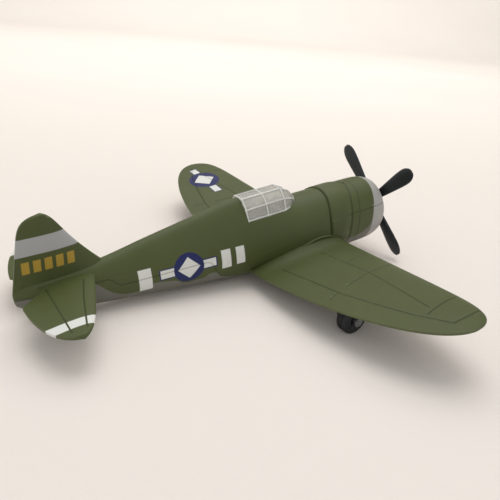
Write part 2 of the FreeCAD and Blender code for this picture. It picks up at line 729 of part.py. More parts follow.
# --------------------------------------------------------------------------- tail wheel
tail_wheel = turned("tail_wheel", [
    ("tail_pin_radius running_gap", "-tail_wheel_half"),
    ("tail_wheel_radius -tail_pin_radius", "-tail_wheel_half"),
    ("tail_wheel_radius", "zero"),
    ("tail_wheel_radius -tail_pin_radius", "tail_wheel_half"),
    ("tail_pin_radius running_gap", "tail_wheel_half")], role="XY_Plane", axis="V_Axis")
tail_pin = turned("tail_pin", [
    ("zero", "-tail_pin_half"), ("tail_pin_radius", "-tail_pin_half"),
    ("tail_pin_radius", "tail_pin_half"), ("zero", "tail_pin_half")],
    role="XY_Plane", axis="V_Axis")
for piece in (tail_wheel, tail_pin):
    own_places[piece.Label] = Placement(tail_wheel_place, Rotation())

# --------------------------------------------------------------- belly screws and socket
screw_profile = [
    ("zero", "zero"), ("screw_head", "zero"), ("screw_head", "screw_head_high"),
    ("screw_radius", "screw_head_high"), ("screw_radius", "screw_head_high screw_long"),
    ("zero", "screw_head_high screw_long")]
screws = []
for place in ("front", "rear"):
    screw = turned(place + "_screw", screw_profile, axis="V_Axis")
    screw.Placement = Placement(
        Vector(cell(place + "_screw_x"), 0, cell(place + "_screw_low")), Rotation())
    screws.append(screw)
belly_screws = doc.addObject("Part::Compound", "belly_screws")
belly_screws.Links = screws

stand_socket = turned("stand_socket", [
    ("socket_bore", "zero"), ("socket_radius", "zero"), ("socket_radius", "socket_high"),
    ("zero", "socket_high"), ("zero", "socket_deep"), ("socket_bore", "socket_deep")],
    axis="V_Axis")
socket_place = Vector(cell("socket_x"), 0, cell("socket_low"))
own_places[stand_socket.Label] = Placement(socket_place, Rotation())

# ------------------------------------------------------------------------- sit and write
pieces = [upper_fuselage, rear_belly, front_belly, wing, tailplane, canopy, cockpit_tub,
          pilot_seat, engine_bulkhead, radial_engine, propeller_bush, propeller,
          propeller_shaft, shaft_collar, tail_wheel, tail_pin, belly_screws,
          stand_socket] + wheel_pieces
own_places["propeller"] = Placement(
    Vector(0, 0, 0), Rotation(Vector(1, 0, 0), cell("blade_rest_angle")))
doc.recompute()

nose_up = Placement(Vector(0, 0, 0), Rotation(Vector(0, 1, 0), -cell("stance_pitch")))


def sat(piece, stance):
    return stance.multiply(own_places.get(piece.Label, Placement()))


for item in doc.Objects:
    if "Invalid" in item.State or "Error" in item.State:
        raise RuntimeError(f"{item.Label} did not build: {item.State}")
for piece in pieces:
    piece.Placement = sat(piece, nose_up)
doc.recompute()
boxes = [piece.Shape.optimalBoundingBox(False, False) for piece in pieces]
low_x = min(box.XMin for box in boxes)
high_x = max(box.XMax for box in boxes)
low_z = min(box.ZMin for box in boxes)
stance = Placement(Vector(-(low_x + high_x) / 2, 0, -low_z), nose_up.Rotation)
for piece in pieces:
    piece.Placement = sat(piece, stance)
doc.recompute()

for piece in pieces:
    shape = piece.Shape
    if shape.isNull() or not shape.isValid() or len(shape.Solids) < 1:
        raise RuntimeError(f"{piece.Label} has no valid solid")
    box = shape.optimalBoundingBox(False, False)
    print(f"{piece.Label}: {len(shape.Solids)} solid, {shape.Volume:.1f} mm3, "
          f"x {box.XMin:.2f} to {box.XMax:.2f}, y {box.YMin:.2f} to {box.YMax:.2f}, "
          f"z {box.ZMin:.2f} to {box.ZMax:.2f}")
    shape.exportStep(f"parts/{piece.Label}.step")

print("stance move", stance.Base)
for name, place in (("propeller", Vector(cell("blade_plane"), 0, 0)),
                    ("port wheel", wheel_places["port"]),
                    ("starboard wheel", wheel_places["starboard"]),
                    ("tail wheel", tail_wheel_place),
                    ("stand socket", socket_place)):
    print(name, "centre", stance.multVec(place))
print("thrust direction", stance.Rotation.multVec(Vector(1, 0, 0)))
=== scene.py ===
import json
import math
import bmesh
import bpy
import numpy as np
from mathutils import Euler, Matrix, Vector


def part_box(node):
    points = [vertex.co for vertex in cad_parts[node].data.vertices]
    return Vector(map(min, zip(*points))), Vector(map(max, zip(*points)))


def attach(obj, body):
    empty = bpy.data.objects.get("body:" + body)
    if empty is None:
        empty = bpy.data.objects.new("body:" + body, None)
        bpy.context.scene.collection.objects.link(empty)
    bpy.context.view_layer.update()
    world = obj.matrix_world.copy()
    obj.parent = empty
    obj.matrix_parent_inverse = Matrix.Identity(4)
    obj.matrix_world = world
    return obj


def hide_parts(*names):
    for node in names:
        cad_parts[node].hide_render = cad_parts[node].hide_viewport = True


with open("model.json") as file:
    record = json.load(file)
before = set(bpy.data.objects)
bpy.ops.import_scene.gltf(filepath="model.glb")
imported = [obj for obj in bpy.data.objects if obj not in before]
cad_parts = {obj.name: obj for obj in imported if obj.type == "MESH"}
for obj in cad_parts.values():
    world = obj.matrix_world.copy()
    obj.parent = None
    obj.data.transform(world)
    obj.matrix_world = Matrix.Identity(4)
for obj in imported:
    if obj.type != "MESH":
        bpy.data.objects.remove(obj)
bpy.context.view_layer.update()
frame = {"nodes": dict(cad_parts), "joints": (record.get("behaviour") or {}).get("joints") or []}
print("frame loaded:", len(frame["nodes"]), "nodes")

# Pieces of the airframe are modelled in millimetres on the thrust line: X forward from the
# end of the tail cone, Y to port, Z up. The stance turns that into the row frame.
mm = 0.001
bladePlane = 108.2
spin = next(joint for joint in frame["joints"] if joint["name"] == "propeller_spin")
thrustLine = Vector(spin["axis"])
acrossShip = Vector((0.0, 1.0, 0.0))
upShip = thrustLine.cross(acrossShip)
stance = Matrix((thrustLine * mm, acrossShip * mm, upShip * mm)).transposed().to_4x4()
stance.translation = Vector(spin["pos_m"]) - thrustLine * bladePlane * mm
nosePitch = math.atan2(thrustLine.z, thrustLine.x)


view = {
    "place": (-4.415, -105.06, 63.786),     # on the thrust line, mm
    "right": (0.83945, -0.54279, -0.02647),
    "up": (0.27951, 0.38949, 0.8776),
    "lens": 36.0,                           # mm on a 36 mm wide sensor
}
floorSet = {"size": 6.0, "rise": 2.2, "back": 1.6, "bend": 0.5, "turn": 58.0}
# name: energy, size, place and aim; the two beyond the model light the floor and wall there
lamps = {
    "key": (2.0, 0.55, (0.03, 0.08, 0.8), (0.0, 0.0, 0.0)),
    "floorWash": (1.0, 1.2, (0.42, 0.68, 1.0), (0.42, 0.68, 0.0)),
    "wallWash": (22.0, 2.4, (0.6, 0.96, 1.5), (1.3, 2.1, 0.2)),
}
skyLight = 0.71


def aimCamera():
    turn = stance.to_3x3() * 1000.0
    right = (turn @ Vector(view["right"])).normalized()
    up = (turn @ Vector(view["up"])).normalized()
    back = right.cross(up).normalized()
    up = back.cross(right)
    lens = bpy.data.cameras.new("camera")
    lens.lens = view["lens"]
    lens.sensor_width = 36.0
    lens.clip_start = 0.005
    lens.clip_end = 20.0
    camera = bpy.data.objects.new("camera", lens)
    bpy.context.scene.collection.objects.link(camera)
    camera.matrix_world = Matrix.Translation(stance @ Vector(view["place"])) @ Matrix(
        (right, up, back)).transposed().to_4x4()
    bpy.context.scene.camera = camera


def paint(hexCode):
    # sRGB hex to linear
    parts = [int(hexCode[i:i + 2], 16) / 255 for i in (1, 3, 5)]
    return [c / 12.92 if c <= 0.04045 else ((c + 0.055) / 1.055) ** 2.4 for c in parts] + [1.0]


def add(tree, kind, settings=None, inputs=None):
    made = tree.nodes.new("ShaderNode" + kind)
    for name, value in (settings or {}).items():
        setattr(made, name, value)
    for name, value in (inputs or {}).items():
        if isinstance(value, bpy.types.Node):
            value = value.outputs[0]
        if isinstance(value, bpy.types.NodeSocket):
            tree.links.new(value, made.inputs[name])
        else:
            made.inputs[name].default_value = value
    return made


def newFinish(name):
    finish = bpy.data.materials.new(name)
    finish.use_nodes = True
    finish.node_tree.nodes.clear()
    return finish, finish.node_tree


def close(tree, shader):
    add(tree, "OutputMaterial", inputs={"Surface": shader})


def cornersIn(items):
    return [item for item in items if isinstance(item, bmesh.types.BMVert)]


def mottled(tree, space, scale, detail, dark, light):
    # two tones mixed by a soft noise
    cloud = add(tree, "TexNoise", inputs={"Vector": space, "Scale": scale, "Detail": detail})
    return cloud, add(tree, "MixRGB", inputs={
        "Fac": cloud, "Color1": paint(dark), "Color2": paint(light)})


def backdropCloth():
    # bleached cotton sheet, plain: pale, matt, with faint unevenness
    finish, tree = newFinish("bleached cotton backdrop")
    where = add(tree, "TexCoord")
    tone = mottled(tree, where.outputs["Object"], 3.0, 2.0, "#e4dcd3", "#ebe4dd")[1]
    nap = add(tree, "TexNoise", inputs={
        "Vector": where.outputs["Object"], "Scale": 900.0, "Detail": 2.0})
    relief = add(tree, "Bump", inputs={
        "Height": nap, "Strength": 0.25, "Distance": 0.0002})
    close(tree, add(tree, "BsdfPrincipled", inputs={
        "Base Color": tone, "Roughness": 0.9, "Specular IOR Level": 0.15, "Normal": relief}))
    return finish


def layFloor():
    # a floor that bends up into a wall, far behind the model
    sheet = bmesh.new()
    half, rise, bend = floorSet["size"] / 2, floorSet["rise"], floorSet["bend"]
    path = [Vector((-half, -half, 0)), Vector((floorSet["back"], -half, 0))]
    for step in range(1, 13):
        angle = math.pi / 2 * step / 12
        path.append(Vector((floorSet["back"] + bend * math.sin(angle), -half,
                            bend * (1 - math.cos(angle)))))
    path.append(path[-1] + Vector((0, 0, rise)))
    corners = [sheet.verts.new(point) for point in path]
    strip = [sheet.edges.new(pair) for pair in zip(corners, corners[1:])]
    grown = bmesh.ops.extrude_edge_only(sheet, edges=strip)["geom"]
    bmesh.ops.translate(sheet, verts=cornersIn(grown), vec=(0, 2 * half, 0))
    bmesh.ops.rotate(sheet, verts=sheet.verts, cent=(0, 0, 0),
                     matrix=Matrix.Rotation(math.radians(floorSet["turn"]), 3, "Z"))
    bmesh.ops.recalc_face_normals(sheet, faces=sheet.faces)
    for face in sheet.faces:
        face.smooth = True
        if face.normal.z < -0.01:
            face.normal_flip()
    mesh = bpy.data.meshes.new("backdrop")
    sheet.to_mesh(mesh)
    sheet.free()
    mesh.materials.append(backdropCloth())
    floor = bpy.data.objects.new("backdrop", mesh)
    bpy.context.scene.collection.objects.link(floor)


def hangLamp(name, energy, size, place, aim):
    light = bpy.data.lights.new(name, "AREA")
    light.shape = "DISK"
    light.size = size
    light.energy = energy
    light.color = (1.0, 0.99, 0.975)
    lamp = bpy.data.objects.new(name, light)
    bpy.context.scene.collection.objects.link(lamp)
    lamp.location = place
    lamp.rotation_euler = (Vector(aim) - Vector(place)).to_track_quat("-Z", "Y").to_euler()


def hangLamps():
    for name, choice in lamps.items():
        hangLamp(name, *choice)
    sky = bpy.data.worlds.new("soft room")
    sky.use_nodes = True
    sky.node_tree.nodes["Background"].inputs["Color"].default_value = (0.98, 0.985, 1.0, 1.0)
    sky.node_tree.nodes["Background"].inputs["Strength"].default_value = skyLight
    bpy.context.scene.world = sky


bpy.context.scene.view_settings.view_transform = "Standard"
aimCamera()
layFloor()
hangLamps()
print("camera, floor and light set")


def loft(work, rings):
    # closed rings with the same number of points, joined one after another
    count = len(rings[0])
    current = bmesh.ops.create_circle(work, segments=count, radius=1.0)["verts"]
    for corner, point in zip(current, rings[0]):
        corner.co = point
    for points in rings[1:]:
        edges = [work.edges.get((current[i], current[(i + 1) % count])) for i in range(count)]
        grown = bmesh.ops.extrude_edge_only(work, edges=edges)["geom"]
        fresh = set(cornersIn(grown))
        current = [next(edge.other_vert(corner) for edge in corner.link_edges
                        if edge.other_vert(corner) in fresh) for corner in current]
        for corner, point in zip(current, points):
            corner.co = point


def closeUp(work):
    bmesh.ops.holes_fill(work, edges=work.edges)
    bmesh.ops.recalc_face_normals(work, faces=work.faces)


def distances(points, lines):
    # nearest distance from each flat point to a set of polylines
    best = np.full(len(points), 1e9)
    for line in lines:
        for start, end in zip(line, line[1:]):
            a, b = np.array(start, float), np.array(end, float)
            along = b - a
            share = np.clip(((points - a) @ along) / max(along @ along, 1e-12), 0, 1)
            gap = np.linalg.norm(points - a - share[:, None] * along, axis=1)
            best = np.minimum(best, gap)
    return best


def engrave(work, lines, flatten, width=0.34, depth=0.13, reaches=(0.95, 0.6, 0.38)):
    # finer mesh beside each line, then the line pressed in along the surface normals
    groove = work.verts.layers.float.get("groove") or work.verts.layers.float.new("groove")

    def gaps():
        points = np.array([flatten(corner) for corner in work.verts], float)
        return distances(points, lines)

    for reach in reaches:
        work.verts.index_update()
        gap = gaps()
        near = [edge for edge in work.edges
                if min(gap[edge.verts[0].index], gap[edge.verts[1].index]) < reach
                and edge.calc_length() > width * 0.42]
        bmesh.ops.subdivide_edges(work, edges=near, cuts=1, use_grid_fill=True)
    work.normal_update()
    work.verts.index_update()
    gap = gaps()
    pushes = []
    for corner in work.verts:
        share = gap[corner.index] / (width / 2)
        if share < 1.6:
            pushes.append((corner, corner.normal.copy(), math.exp(-share * share * 1.3)))
    for corner, normal, amount in pushes:
        corner.co -= normal * depth * amount
        corner[groove] = max(corner[groove], amount)


def turned(work, profile, centre, axis, steps=48):
    # profile points are (distance from the axis, distance along it)
    axis = Vector(axis).normalized()
    side = axis.orthogonal().normalized()
    centre = Vector(centre)
    corners = [work.verts.new(centre + side * out + axis * along) for out, along in profile]
    edges = [work.edges.new(pair) for pair in zip(corners, corners[1:])]
    bmesh.ops.spin(work, geom=corners + edges, cent=centre, axis=axis,
                   angle=2 * math.pi, steps=steps, use_merge=True)
    bmesh.ops.remove_doubles(work, verts=work.verts, dist=0.002)


def slab(work, low, high, soften=0.0, segments=2):
    # a block between two corners, edges softened
    low, high = Vector(low), Vector(high)
    made = bmesh.ops.create_cube(work, size=1.0)["verts"]
    bmesh.ops.scale(work, vec=high - low, verts=made)
    bmesh.ops.translate(work, vec=(low + high) / 2, verts=made)
    if soften:
        edges = list({edge for corner in made for edge in corner.link_edges})
        bmesh.ops.bevel(work, geom=edges, offset=soften, offset_type="OFFSET",
                        affect="EDGES", segments=segments, profile=0.5, material=-1)


def prism(outline, run):
    # a straight-sided tool on a closed outline
    work = bmesh.new()
    base = [work.verts.new(point) for point in outline]
    face = bmesh.ops.contextual_create(work, geom=base)["faces"]
    grown = bmesh.ops.extrude_face_region(work, geom=face)["geom"]
    bmesh.ops.translate(work, vec=run, verts=cornersIn(grown))
    bmesh.ops.recalc_face_normals(work, faces=work.faces)
    return work


def repeatRound(work, count):
    # all that is there so far, repeated round the thrust line
    first = work.verts[:] + work.edges[:] + work.faces[:]
    for number in range(1, count):
        twin = bmesh.ops.duplicate(work, geom=first)["geom"]
        bmesh.ops.rotate(work, cent=(0, 0, 0), verts=cornersIn(twin),
                         matrix=Matrix.Rotation(2 * math.pi * number / count, 3, "X"))


def absorb(work, extra):
    mesh = bpy.data.meshes.new("part")
    extra.to_mesh(mesh)
    extra.free()
    work.from_mesh(mesh)
    bpy.data.meshes.remove(mesh)


def markCreases(work, crease):
    # smooth shading with true corners kept
    for face in work.faces:
        face.smooth = True
    for edge in work.edges:
        edge.smooth = len(edge.link_faces) != 2 or (
            edge.calc_face_angle(0.0) < math.radians(crease))


def toObject(work, name, place=stance, crease=38.0):
    bmesh.ops.transform(work, matrix=place, verts=work.verts)
    work.normal_update()
    markCreases(work, crease)
    mesh = bpy.data.meshes.new(name)
    work.to_mesh(mesh)
    work.free()
    piece = bpy.data.objects.new(name, mesh)
    bpy.context.scene.collection.objects.link(piece)
    return piece


def carve(piece, tool, operation="DIFFERENCE"):
    cut = piece.modifiers.new("cut", "BOOLEAN")
    cut.operation = operation
    cut.solver = "EXACT"
    cut.object = tool
    ready = piece.evaluated_get(bpy.context.evaluated_depsgraph_get())
    mesh = bpy.data.meshes.new_from_object(ready)
    piece.modifiers.clear()
    old = piece.data
    piece.data = mesh
    bpy.data.meshes.remove(old)


def copyOf(piece, name):
    twin = piece.copy()
    twin.data = piece.data.copy()
    twin.name = name
    bpy.context.scene.collection.objects.link(twin)
    return twin


def discard(*pieces):
    for piece in pieces:
        bpy.data.objects.remove(piece)


def sharpen(piece, crease=38.0):
    # the slivers a Boolean leaves are merged, then corners are marked
    work = bmesh.new()
    work.from_mesh(piece.data)
    bmesh.ops.remove_doubles(work, verts=work.verts, dist=0.002 * mm)
    bmesh.ops.dissolve_degenerate(work, edges=work.edges, dist=0.002 * mm)
    markCreases(work, crease)
    work.to_mesh(piece.data)
    work.free()


def fit(piece, body, finishes, stands=()):
    piece.data.materials.clear()
    for finish in finishes:
        piece.data.materials.append(finish)
    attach(piece, body)
    if stands:
        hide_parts(*stands)
    return piece


def shipSpace(tree):
    # thrust-line millimetres, read from Object coordinates
    where = add(tree, "TexCoord")
    origin = Euler((0.0, nosePitch, 0.0)).to_matrix() @ (stance.translation * 1000)
    return add(tree, "Mapping", inputs={
        "Vector": where.outputs["Object"], "Location": -origin,
        "Rotation": (0.0, nosePitch, 0.0), "Scale": (1000.0, 1000.0, 1000.0)})


def inkedSpace(tree, ship, sway=0.10, grain=1.2):
    # the same place with an edge that wanders a little, as pad printing and masking do
    drift = add(tree, "TexNoise", inputs={
        "Vector": ship, "Scale": 1.0 / grain, "Detail": 2.0})
    middle = add(tree, "VectorMath", {"operation": "SUBTRACT"}, {
        0: drift.outputs["Color"], 1: (0.5, 0.5, 0.5)})
    moved = add(tree, "VectorMath", {"operation": "MULTIPLY_ADD"}, {
        0: middle, 1: (sway, sway, sway), 2: ship})
    return add(tree, "SeparateXYZ", inputs={0: moved})


def edgeStep(tree, distance, soft=0.07):
    # 1 where the signed distance is above 0
    return add(tree, "MapRange", inputs={
        0: distance, 1: -soft, 2: soft, 3: 0.0, 4: 1.0})


def blockMark(tree, across, up, centre, half, lean=0.0):
    # mask inside a leaning block
    run, rise = [add(tree, "Math", {"operation": "SUBTRACT"}, {0: value, 1: middle})
                 for value, middle in zip((across, up), centre)]
    straight = add(tree, "Math", {"operation": "MULTIPLY_ADD"}, {0: rise, 1: -lean, 2: run})
    inside = []
    for value, limit in zip((straight, rise), half):
        away = add(tree, "Math", {"operation": "ABSOLUTE"}, {0: value})
        inside.append(add(tree, "Math", {"operation": "SUBTRACT"}, {0: limit, 1: away}))
    return edgeStep(tree, add(tree, "Math", {"operation": "MINIMUM"}, {
        0: inside[0], 1: inside[1]}))


def discMark(tree, across, up, centre, radius):
    flat = add(tree, "CombineXYZ", inputs={0: across, 1: up})
    away = add(tree, "VectorMath", {"operation": "DISTANCE"}, {
        0: flat, 1: (centre[0], centre[1], 0.0)})
    inside = add(tree, "Math", {"operation": "SUBTRACT"}, {
        0: radius, 1: away.outputs["Value"]})
    return edgeStep(tree, inside)


def diamondMark(tree, across, up, centre, half):
    away = []
    for value, middle in zip((across, up), centre):
        offset = add(tree, "Math", {"operation": "SUBTRACT"}, {0: value, 1: middle})
        away.append(add(tree, "Math", {"operation": "ABSOLUTE"}, {0: offset}))
    total = add(tree, "Math", {"operation": "ADD"}, {0: away[0], 1: away[1]})
    return edgeStep(tree, add(tree, "Math", {"operation": "SUBTRACT"}, {0: half, 1: total}))


def facingDown(tree):
    # 1 where the surface faces down
    facing = add(tree, "NewGeometry")
    split = add(tree, "SeparateXYZ", inputs={0: facing.outputs["Normal"]})
    return add(tree, "MapRange", inputs={
        0: split.outputs["Z"], 1: -0.25, 2: -0.45, 3: 0.0, 4: 1.0})


def over(tree, under, mask, hexCode):
    # one more coat on what is there
    return add(tree, "MixRGB", inputs={
        "Fac": mask, "Color1": under, "Color2": paint(hexCode)})


inks = {
    "olive": "#48502a", "oliveWarm": "#525a2c", "oliveDull": "#414a2c",
    "belly": "#6c6b62", "lip": "#a3a19d", "band": "#a6a6a5",
    "blue": "#1a2358", "white": "#d9dad4", "yellow": "#a98b35",
}


def sprayedEnamel(name, markings, groundCodes=("olive", "oliveWarm", "oliveDull"), gloss=0.5):
    # die-cast zinc sprayed with satin enamel: soft broad sheen, fine spray grain, slightly
    # uneven cover, and painted shade darkening the engraved lines
    finish, tree = newFinish(name)
    ship = shipSpace(tree)
    warm = mottled(tree, ship, 0.09, 3.0, inks[groundCodes[2]], inks[groundCodes[1]])[1]
    drift = add(tree, "TexNoise", inputs={"Vector": ship, "Scale": 0.35, "Detail": 2.0})
    ground = add(tree, "MixRGB", inputs={
        "Fac": drift, "Color1": warm, "Color2": paint(inks[groundCodes[0]])})
    printed = inkedSpace(tree, ship)
    colour = markings(tree, ground, printed)
    # painted shade: the engraved lines are darkened towards a dark grey by their groove depth
    grooveDepth = add(tree, "Attribute", {"attribute_name": "groove"})
    shade = add(tree, "Math", {"operation": "MULTIPLY"}, {
        0: grooveDepth.outputs["Fac"], 1: 0.5})
    grooveShaded = add(tree, "MixRGB", {"blend_type": "MULTIPLY"}, {
        "Fac": shade, "Color1": colour, "Color2": paint("#3c3c34")})
    # painted highlight: sharp convex edges are lightened towards a pale olive
    edgeSharpness = add(tree, "NewGeometry")
    edge = add(tree, "MapRange", inputs={
        0: edgeSharpness.outputs["Pointiness"], 1: 0.53, 2: 0.62, 3: 0.0, 4: 0.22})
    edgeHighlighted = add(tree, "MixRGB", {"blend_type": "SCREEN"}, {
        "Fac": edge, "Color1": grooveShaded, "Color2": paint("#8a8c70")})
    grain = add(tree, "TexNoise", inputs={"Vector": ship, "Scale": 5.0, "Detail": 3.0})
    rough = add(tree, "MapRange", inputs={
        0: grain, 1: 0.3, 2: 0.7, 3: gloss - 0.05, 4: gloss + 0.07})
    relief = add(tree, "Bump", inputs={
        "Height": grain, "Strength": 0.10, "Distance": 0.00004})
    close(tree, add(tree, "BsdfPrincipled", inputs={
        "Base Color": edgeHighlighted, "Roughness": rough, "Specular IOR Level": 0.32,
        "Normal": relief}))
    return finish


def moulded(name, dark, light, roughness=0.45, grainScale=3.0, gain=0.12):
    # injection-moulded plastic: fine spark-eroded texture, a little uneven in tone
    finish, tree = newFinish(name)
    ship = shipSpace(tree)
    tone = mottled(tree, ship, 0.5, 3.0, dark, light)[1]
    grain = add(tree, "TexNoise", inputs={
        "Vector": ship, "Scale": grainScale, "Detail": 2.0})
    rough = add(tree, "MapRange", inputs={
        0: grain, 1: 0.3, 2: 0.7, 3: roughness - 0.06, 4: roughness + 0.08})
    relief = add(tree, "Bump", inputs={
        "Height": grain, "Strength": gain, "Distance": 0.00005})
    close(tree, add(tree, "BsdfPrincipled", inputs={
        "Base Color": tone, "Roughness": rough, "Normal": relief}))
    return finish


def metalFinish(name, dark, light, roughness):
    # turned or drawn metal: a little uneven in tone and roughness
    finish, tree = newFinish(name)
    ship = shipSpace(tree)
    cloud, tone = mottled(tree, ship, 1.5, 3.0, dark, light)
    rough = add(tree, "MapRange", inputs={
        0: cloud, 1: 0.3, 2: 0.7, 3: roughness - 0.06, 4: roughness + 0.08})
    close(tree, add(tree, "BsdfPrincipled", inputs={
        "Base Color": tone, "Roughness": rough, "Metallic": 1.0}))
    return finish


def clearStyrene():
    # clear polystyrene moulding: glossy, thick, a little hazy
    finish, tree = newFinish("clear polystyrene moulding")
    ship = shipSpace(tree)
    ripple = add(tree, "TexNoise", inputs={"Vector": ship, "Scale": 0.9, "Detail": 3.0})
    rough = add(tree, "MapRange", inputs={
        0: ripple, 1: 0.35, 2: 0.65, 3: 0.02, 4: 0.14})
    relief = add(tree, "Bump", inputs={
        "Height": ripple, "Strength": 0.6, "Distance": 0.0004})
    close(tree, add(tree, "BsdfPrincipled", inputs={
        "Base Color": paint("#fbfaf2"), "Roughness": rough, "IOR": 1.59,
        "Transmission Weight": 0.74, "Normal": relief}))
    return finish


def frostedFrames():
    # the raised frame lines of the same moulding, textured so that they catch the light
    finish, tree = newFinish("frosted polystyrene frames")
    ship = shipSpace(tree)
    tone = mottled(tree, ship, 2.5, 2.0, "#e9e8e0", "#fbfbf7")[1]
    close(tree, add(tree, "BsdfPrincipled", inputs={
        "Base Color": tone, "Roughness": 0.22, "IOR": 1.59, "Transmission Weight": 0.3}))
    return finish


hull = {
    # station, top, bottom, half width, height of the widest line, pinch of the upper part
    "frames": [
        (0.3, 5.0, 1.4, 0.45, 3.2, 0.0), (3.0, 5.9, -0.7, 1.3, 2.6, 0.0),
        (10.0, 6.3, -2.7, 2.5, 1.8, 0.0), (20.0, 7.0, -4.5, 3.7, 1.0, 0.1),
        (32.0, 9.1, -6.2, 5.1, 0.3, 0.25), (45.0, 11.2, -7.9, 6.6, -0.4, 0.38),
        (58.5, 13.0, -9.6, 8.1, -1.0, 0.42), (66.0, 11.0, -10.3, 8.7, -1.1, 0.2),
        (74.0, 9.1, -10.8, 9.0, -1.2, 0.0), (82.0, 8.9, -11.0, 9.1, -1.2, 0.0),
        (92.0, 8.9, -11.2, 9.2, -1.2, 0.0), (100.0, 8.8, -11.2, 9.2, -1.2, 0.0)],
    "around": 96, "spacing": 0.95,
    "noseStation": 106.1, "lipInset": 2.1, "lipSteps": 14,
    "throatWide": 6.5, "throatTall": 7.2,
    # station and flare, from the lip back to the bulkhead
    "throat": [(106.0, 0.3), (105.6, 0.08), (104.9, 0.0), (103.0, 0.0), (101.0, 0.0),
               (99.0, 0.0), (97.0, 0.0), (95.0, 0.0), (93.4, 0.0)],
    # seen from the side: where the upper casting meets the belly castings
    "parting": [(20.0, 3.0), (21.0, 2.5), (21.8, 1.4), (22.8, 0.8), (44.6, 0.8), (45.6, 0.4),
                (46.4, -1.0), (47.1, -2.8), (48.6, -4.8), (52.0, -6.2), (58.0, -7.4)],
    "tailParting": [(0.3, 3.0), (20.0, 3.0)],
    "cowlParting": [(83.5, 2.4), (106.2, 2.4)],
    "cowlRear": [(85.4, 8.8), (84.9, 7.3), (84.2, 5.6), (83.5, 2.4), (83.4, -1.0),
                 (83.5, -7.4), (83.9, -11.2)],
    "cowlFront": [(94.7, 8.9), (93.6, 7.4), (92.6, 5.6), (91.6, 2.4), (90.9, -2.0),
                  (91.0, -6.0), (91.2, -11.2)],
    "cowlBand": [(96.8, 8.9), (96.2, 7.2), (95.3, 5.0), (94.6, 2.4), (94.0, -2.0),
                 (94.0, -11.2)],
    "bellyJoint": 46.0,
    "flaps": {"lift": 0.36, "aheadOf": 80.0, "above": -6.5, "fade": 1.5, "clear": 7.0,
              "step": 0.4, "run": 2.5},
    "canopyDeck": {"height": 7.6,
                   "edge": [(58.0, 20.0), (70.4, 20.0), (70.4, 5.4), (75.6, 2.2)]},
    "cockpit": (59.4, 70.4, 3.3, 3.8),
}
fin = {"foot": 4.0, "top": 21.3, "middle": 9.6, "front": 11.1, "curve": 1.45, "cap": 2.4,
       "rear": 4.9, "rearCap": 4.7, "thick": 2.2, "edge": 0.6, "thinning": 0.45,
       "steps": 46, "aheadLimit": 24.0}


def frameAt(x):
    # the frame at a station, on a smooth curve through the given ones
    frames = hull["frames"]
    last = len(frames) - 2
    k = max(0, min(last, sum(1 for item in frames[1:-1] if item[0] <= x)))
    before, start = frames[max(k - 1, 0)], frames[k]
    end, after = frames[k + 1], frames[min(k + 2, last + 1)]
    gap = end[0] - start[0]
    t = (x - start[0]) / gap
    found = [x]
    for index in range(1, 6):
        slopeA = (end[index] - before[index]) / max(end[0] - before[0], 1e-6)
        slopeB = (after[index] - start[index]) / max(after[0] - start[0], 1e-6)
        found.append(
            (2 * t ** 3 - 3 * t ** 2 + 1) * start[index] + (t ** 3 - 2 * t ** 2 + t) * gap * slopeA
            + (3 * t ** 2 - 2 * t ** 3) * end[index] + (t ** 3 - t ** 2) * gap * slopeB)
    return found


def hullRing(x, top, bottom, half, wide, pinch):
    points = []
    for step in range(hull["around"]):
        angle = 2 * math.pi * step / hull["around"]
        out, rise = math.cos(angle), math.sin(angle)
        if rise > 0:
            points.append(Vector((x, half * out * (1 - pinch * rise * rise),
                                  wide + (top - wide) * rise)))
        else:
            points.append(Vector((x, half * out, wide + (wide - bottom) * rise)))
    return points


def hullForm():
    end = hull["frames"][0]
    start, middle = end[0], (end[1] + end[2]) / 2
    rings = [hullRing(0.05, middle + 0.9, middle - 0.9, 0.25, middle, 0.0)]
    x, top, bottom, half, wide, pinch = hull["frames"][-1]
    count = int((x - start) / hull["spacing"])
    rings += [hullRing(*frameAt(start + (x - start) * step / count))
              for step in range(count + 1)]
    for step in range(1, hull["lipSteps"] + 1):
        turn = math.pi / 2 * step / hull["lipSteps"]
        inset = hull["lipInset"] * (1 - math.cos(turn))
        rings.append(hullRing(x + (hull["noseStation"] - x) * math.sin(turn), top - inset,
                              bottom + inset, half - inset, wide, pinch))
    tall, across = hull["throatTall"], hull["throatWide"]
    for station, spare in hull["throat"]:
        rings.append(hullRing(station, wide + tall + spare, wide - tall - spare,
                              across + spare, wide, 0.0))
    work = bmesh.new()
    loft(work, rings)
    closeUp(work)
    return work


def finForm():
    rings = []
    for step in range(fin["steps"]):
        z = fin["foot"] + (fin["top"] - fin["foot"]) * math.sin(
            math.pi / 2 * (step + 0.4) / fin["steps"])
        share = (z - fin["foot"]) / (fin["top"] - fin["foot"])
        front = (fin["middle"] + fin["front"] * (1 - share) ** fin["curve"]
                 + fin["cap"] * math.sqrt(1 - share ** 9))
        rear = (fin["middle"] - fin["rear"] * (1 - share)
                - fin["rearCap"] * math.sqrt(1 - share ** 14))
        thick = fin["thick"] * (1 - fin["thinning"] * share)
        rings.append([Vector((x, offset, z)) for x, offset in
                      aerofoil(front, rear, thick, fin["edge"], 20)])
    work = bmesh.new()
    loft(work, rings)
    closeUp(work)
    work.verts.layers.float.new("groove")
    return work


def aerofoil(front, rear, thick, edge, steps, swell=1.0):
    # upper side from the rear edge forward, then the lower side back
    chord = front - rear
    upper = []
    for step in range(steps + 1):
        back = (1 - math.cos(math.pi * step / steps)) / 2
        bulge = (0.2969 * math.sqrt(back) - 0.126 * back - 0.3516 * back ** 2
                 + 0.2843 * back ** 3 - 0.1036 * back ** 4) * 5 * thick
        upper.append((front - chord * back, bulge + edge / 2 * back))
    points = [(x, offset * swell) for x, offset in reversed(upper)]
    return points + [(x, -offset) for x, offset in upper[1:]]


def sideOn(corner):
    return (corner.co.x, corner.co.z)


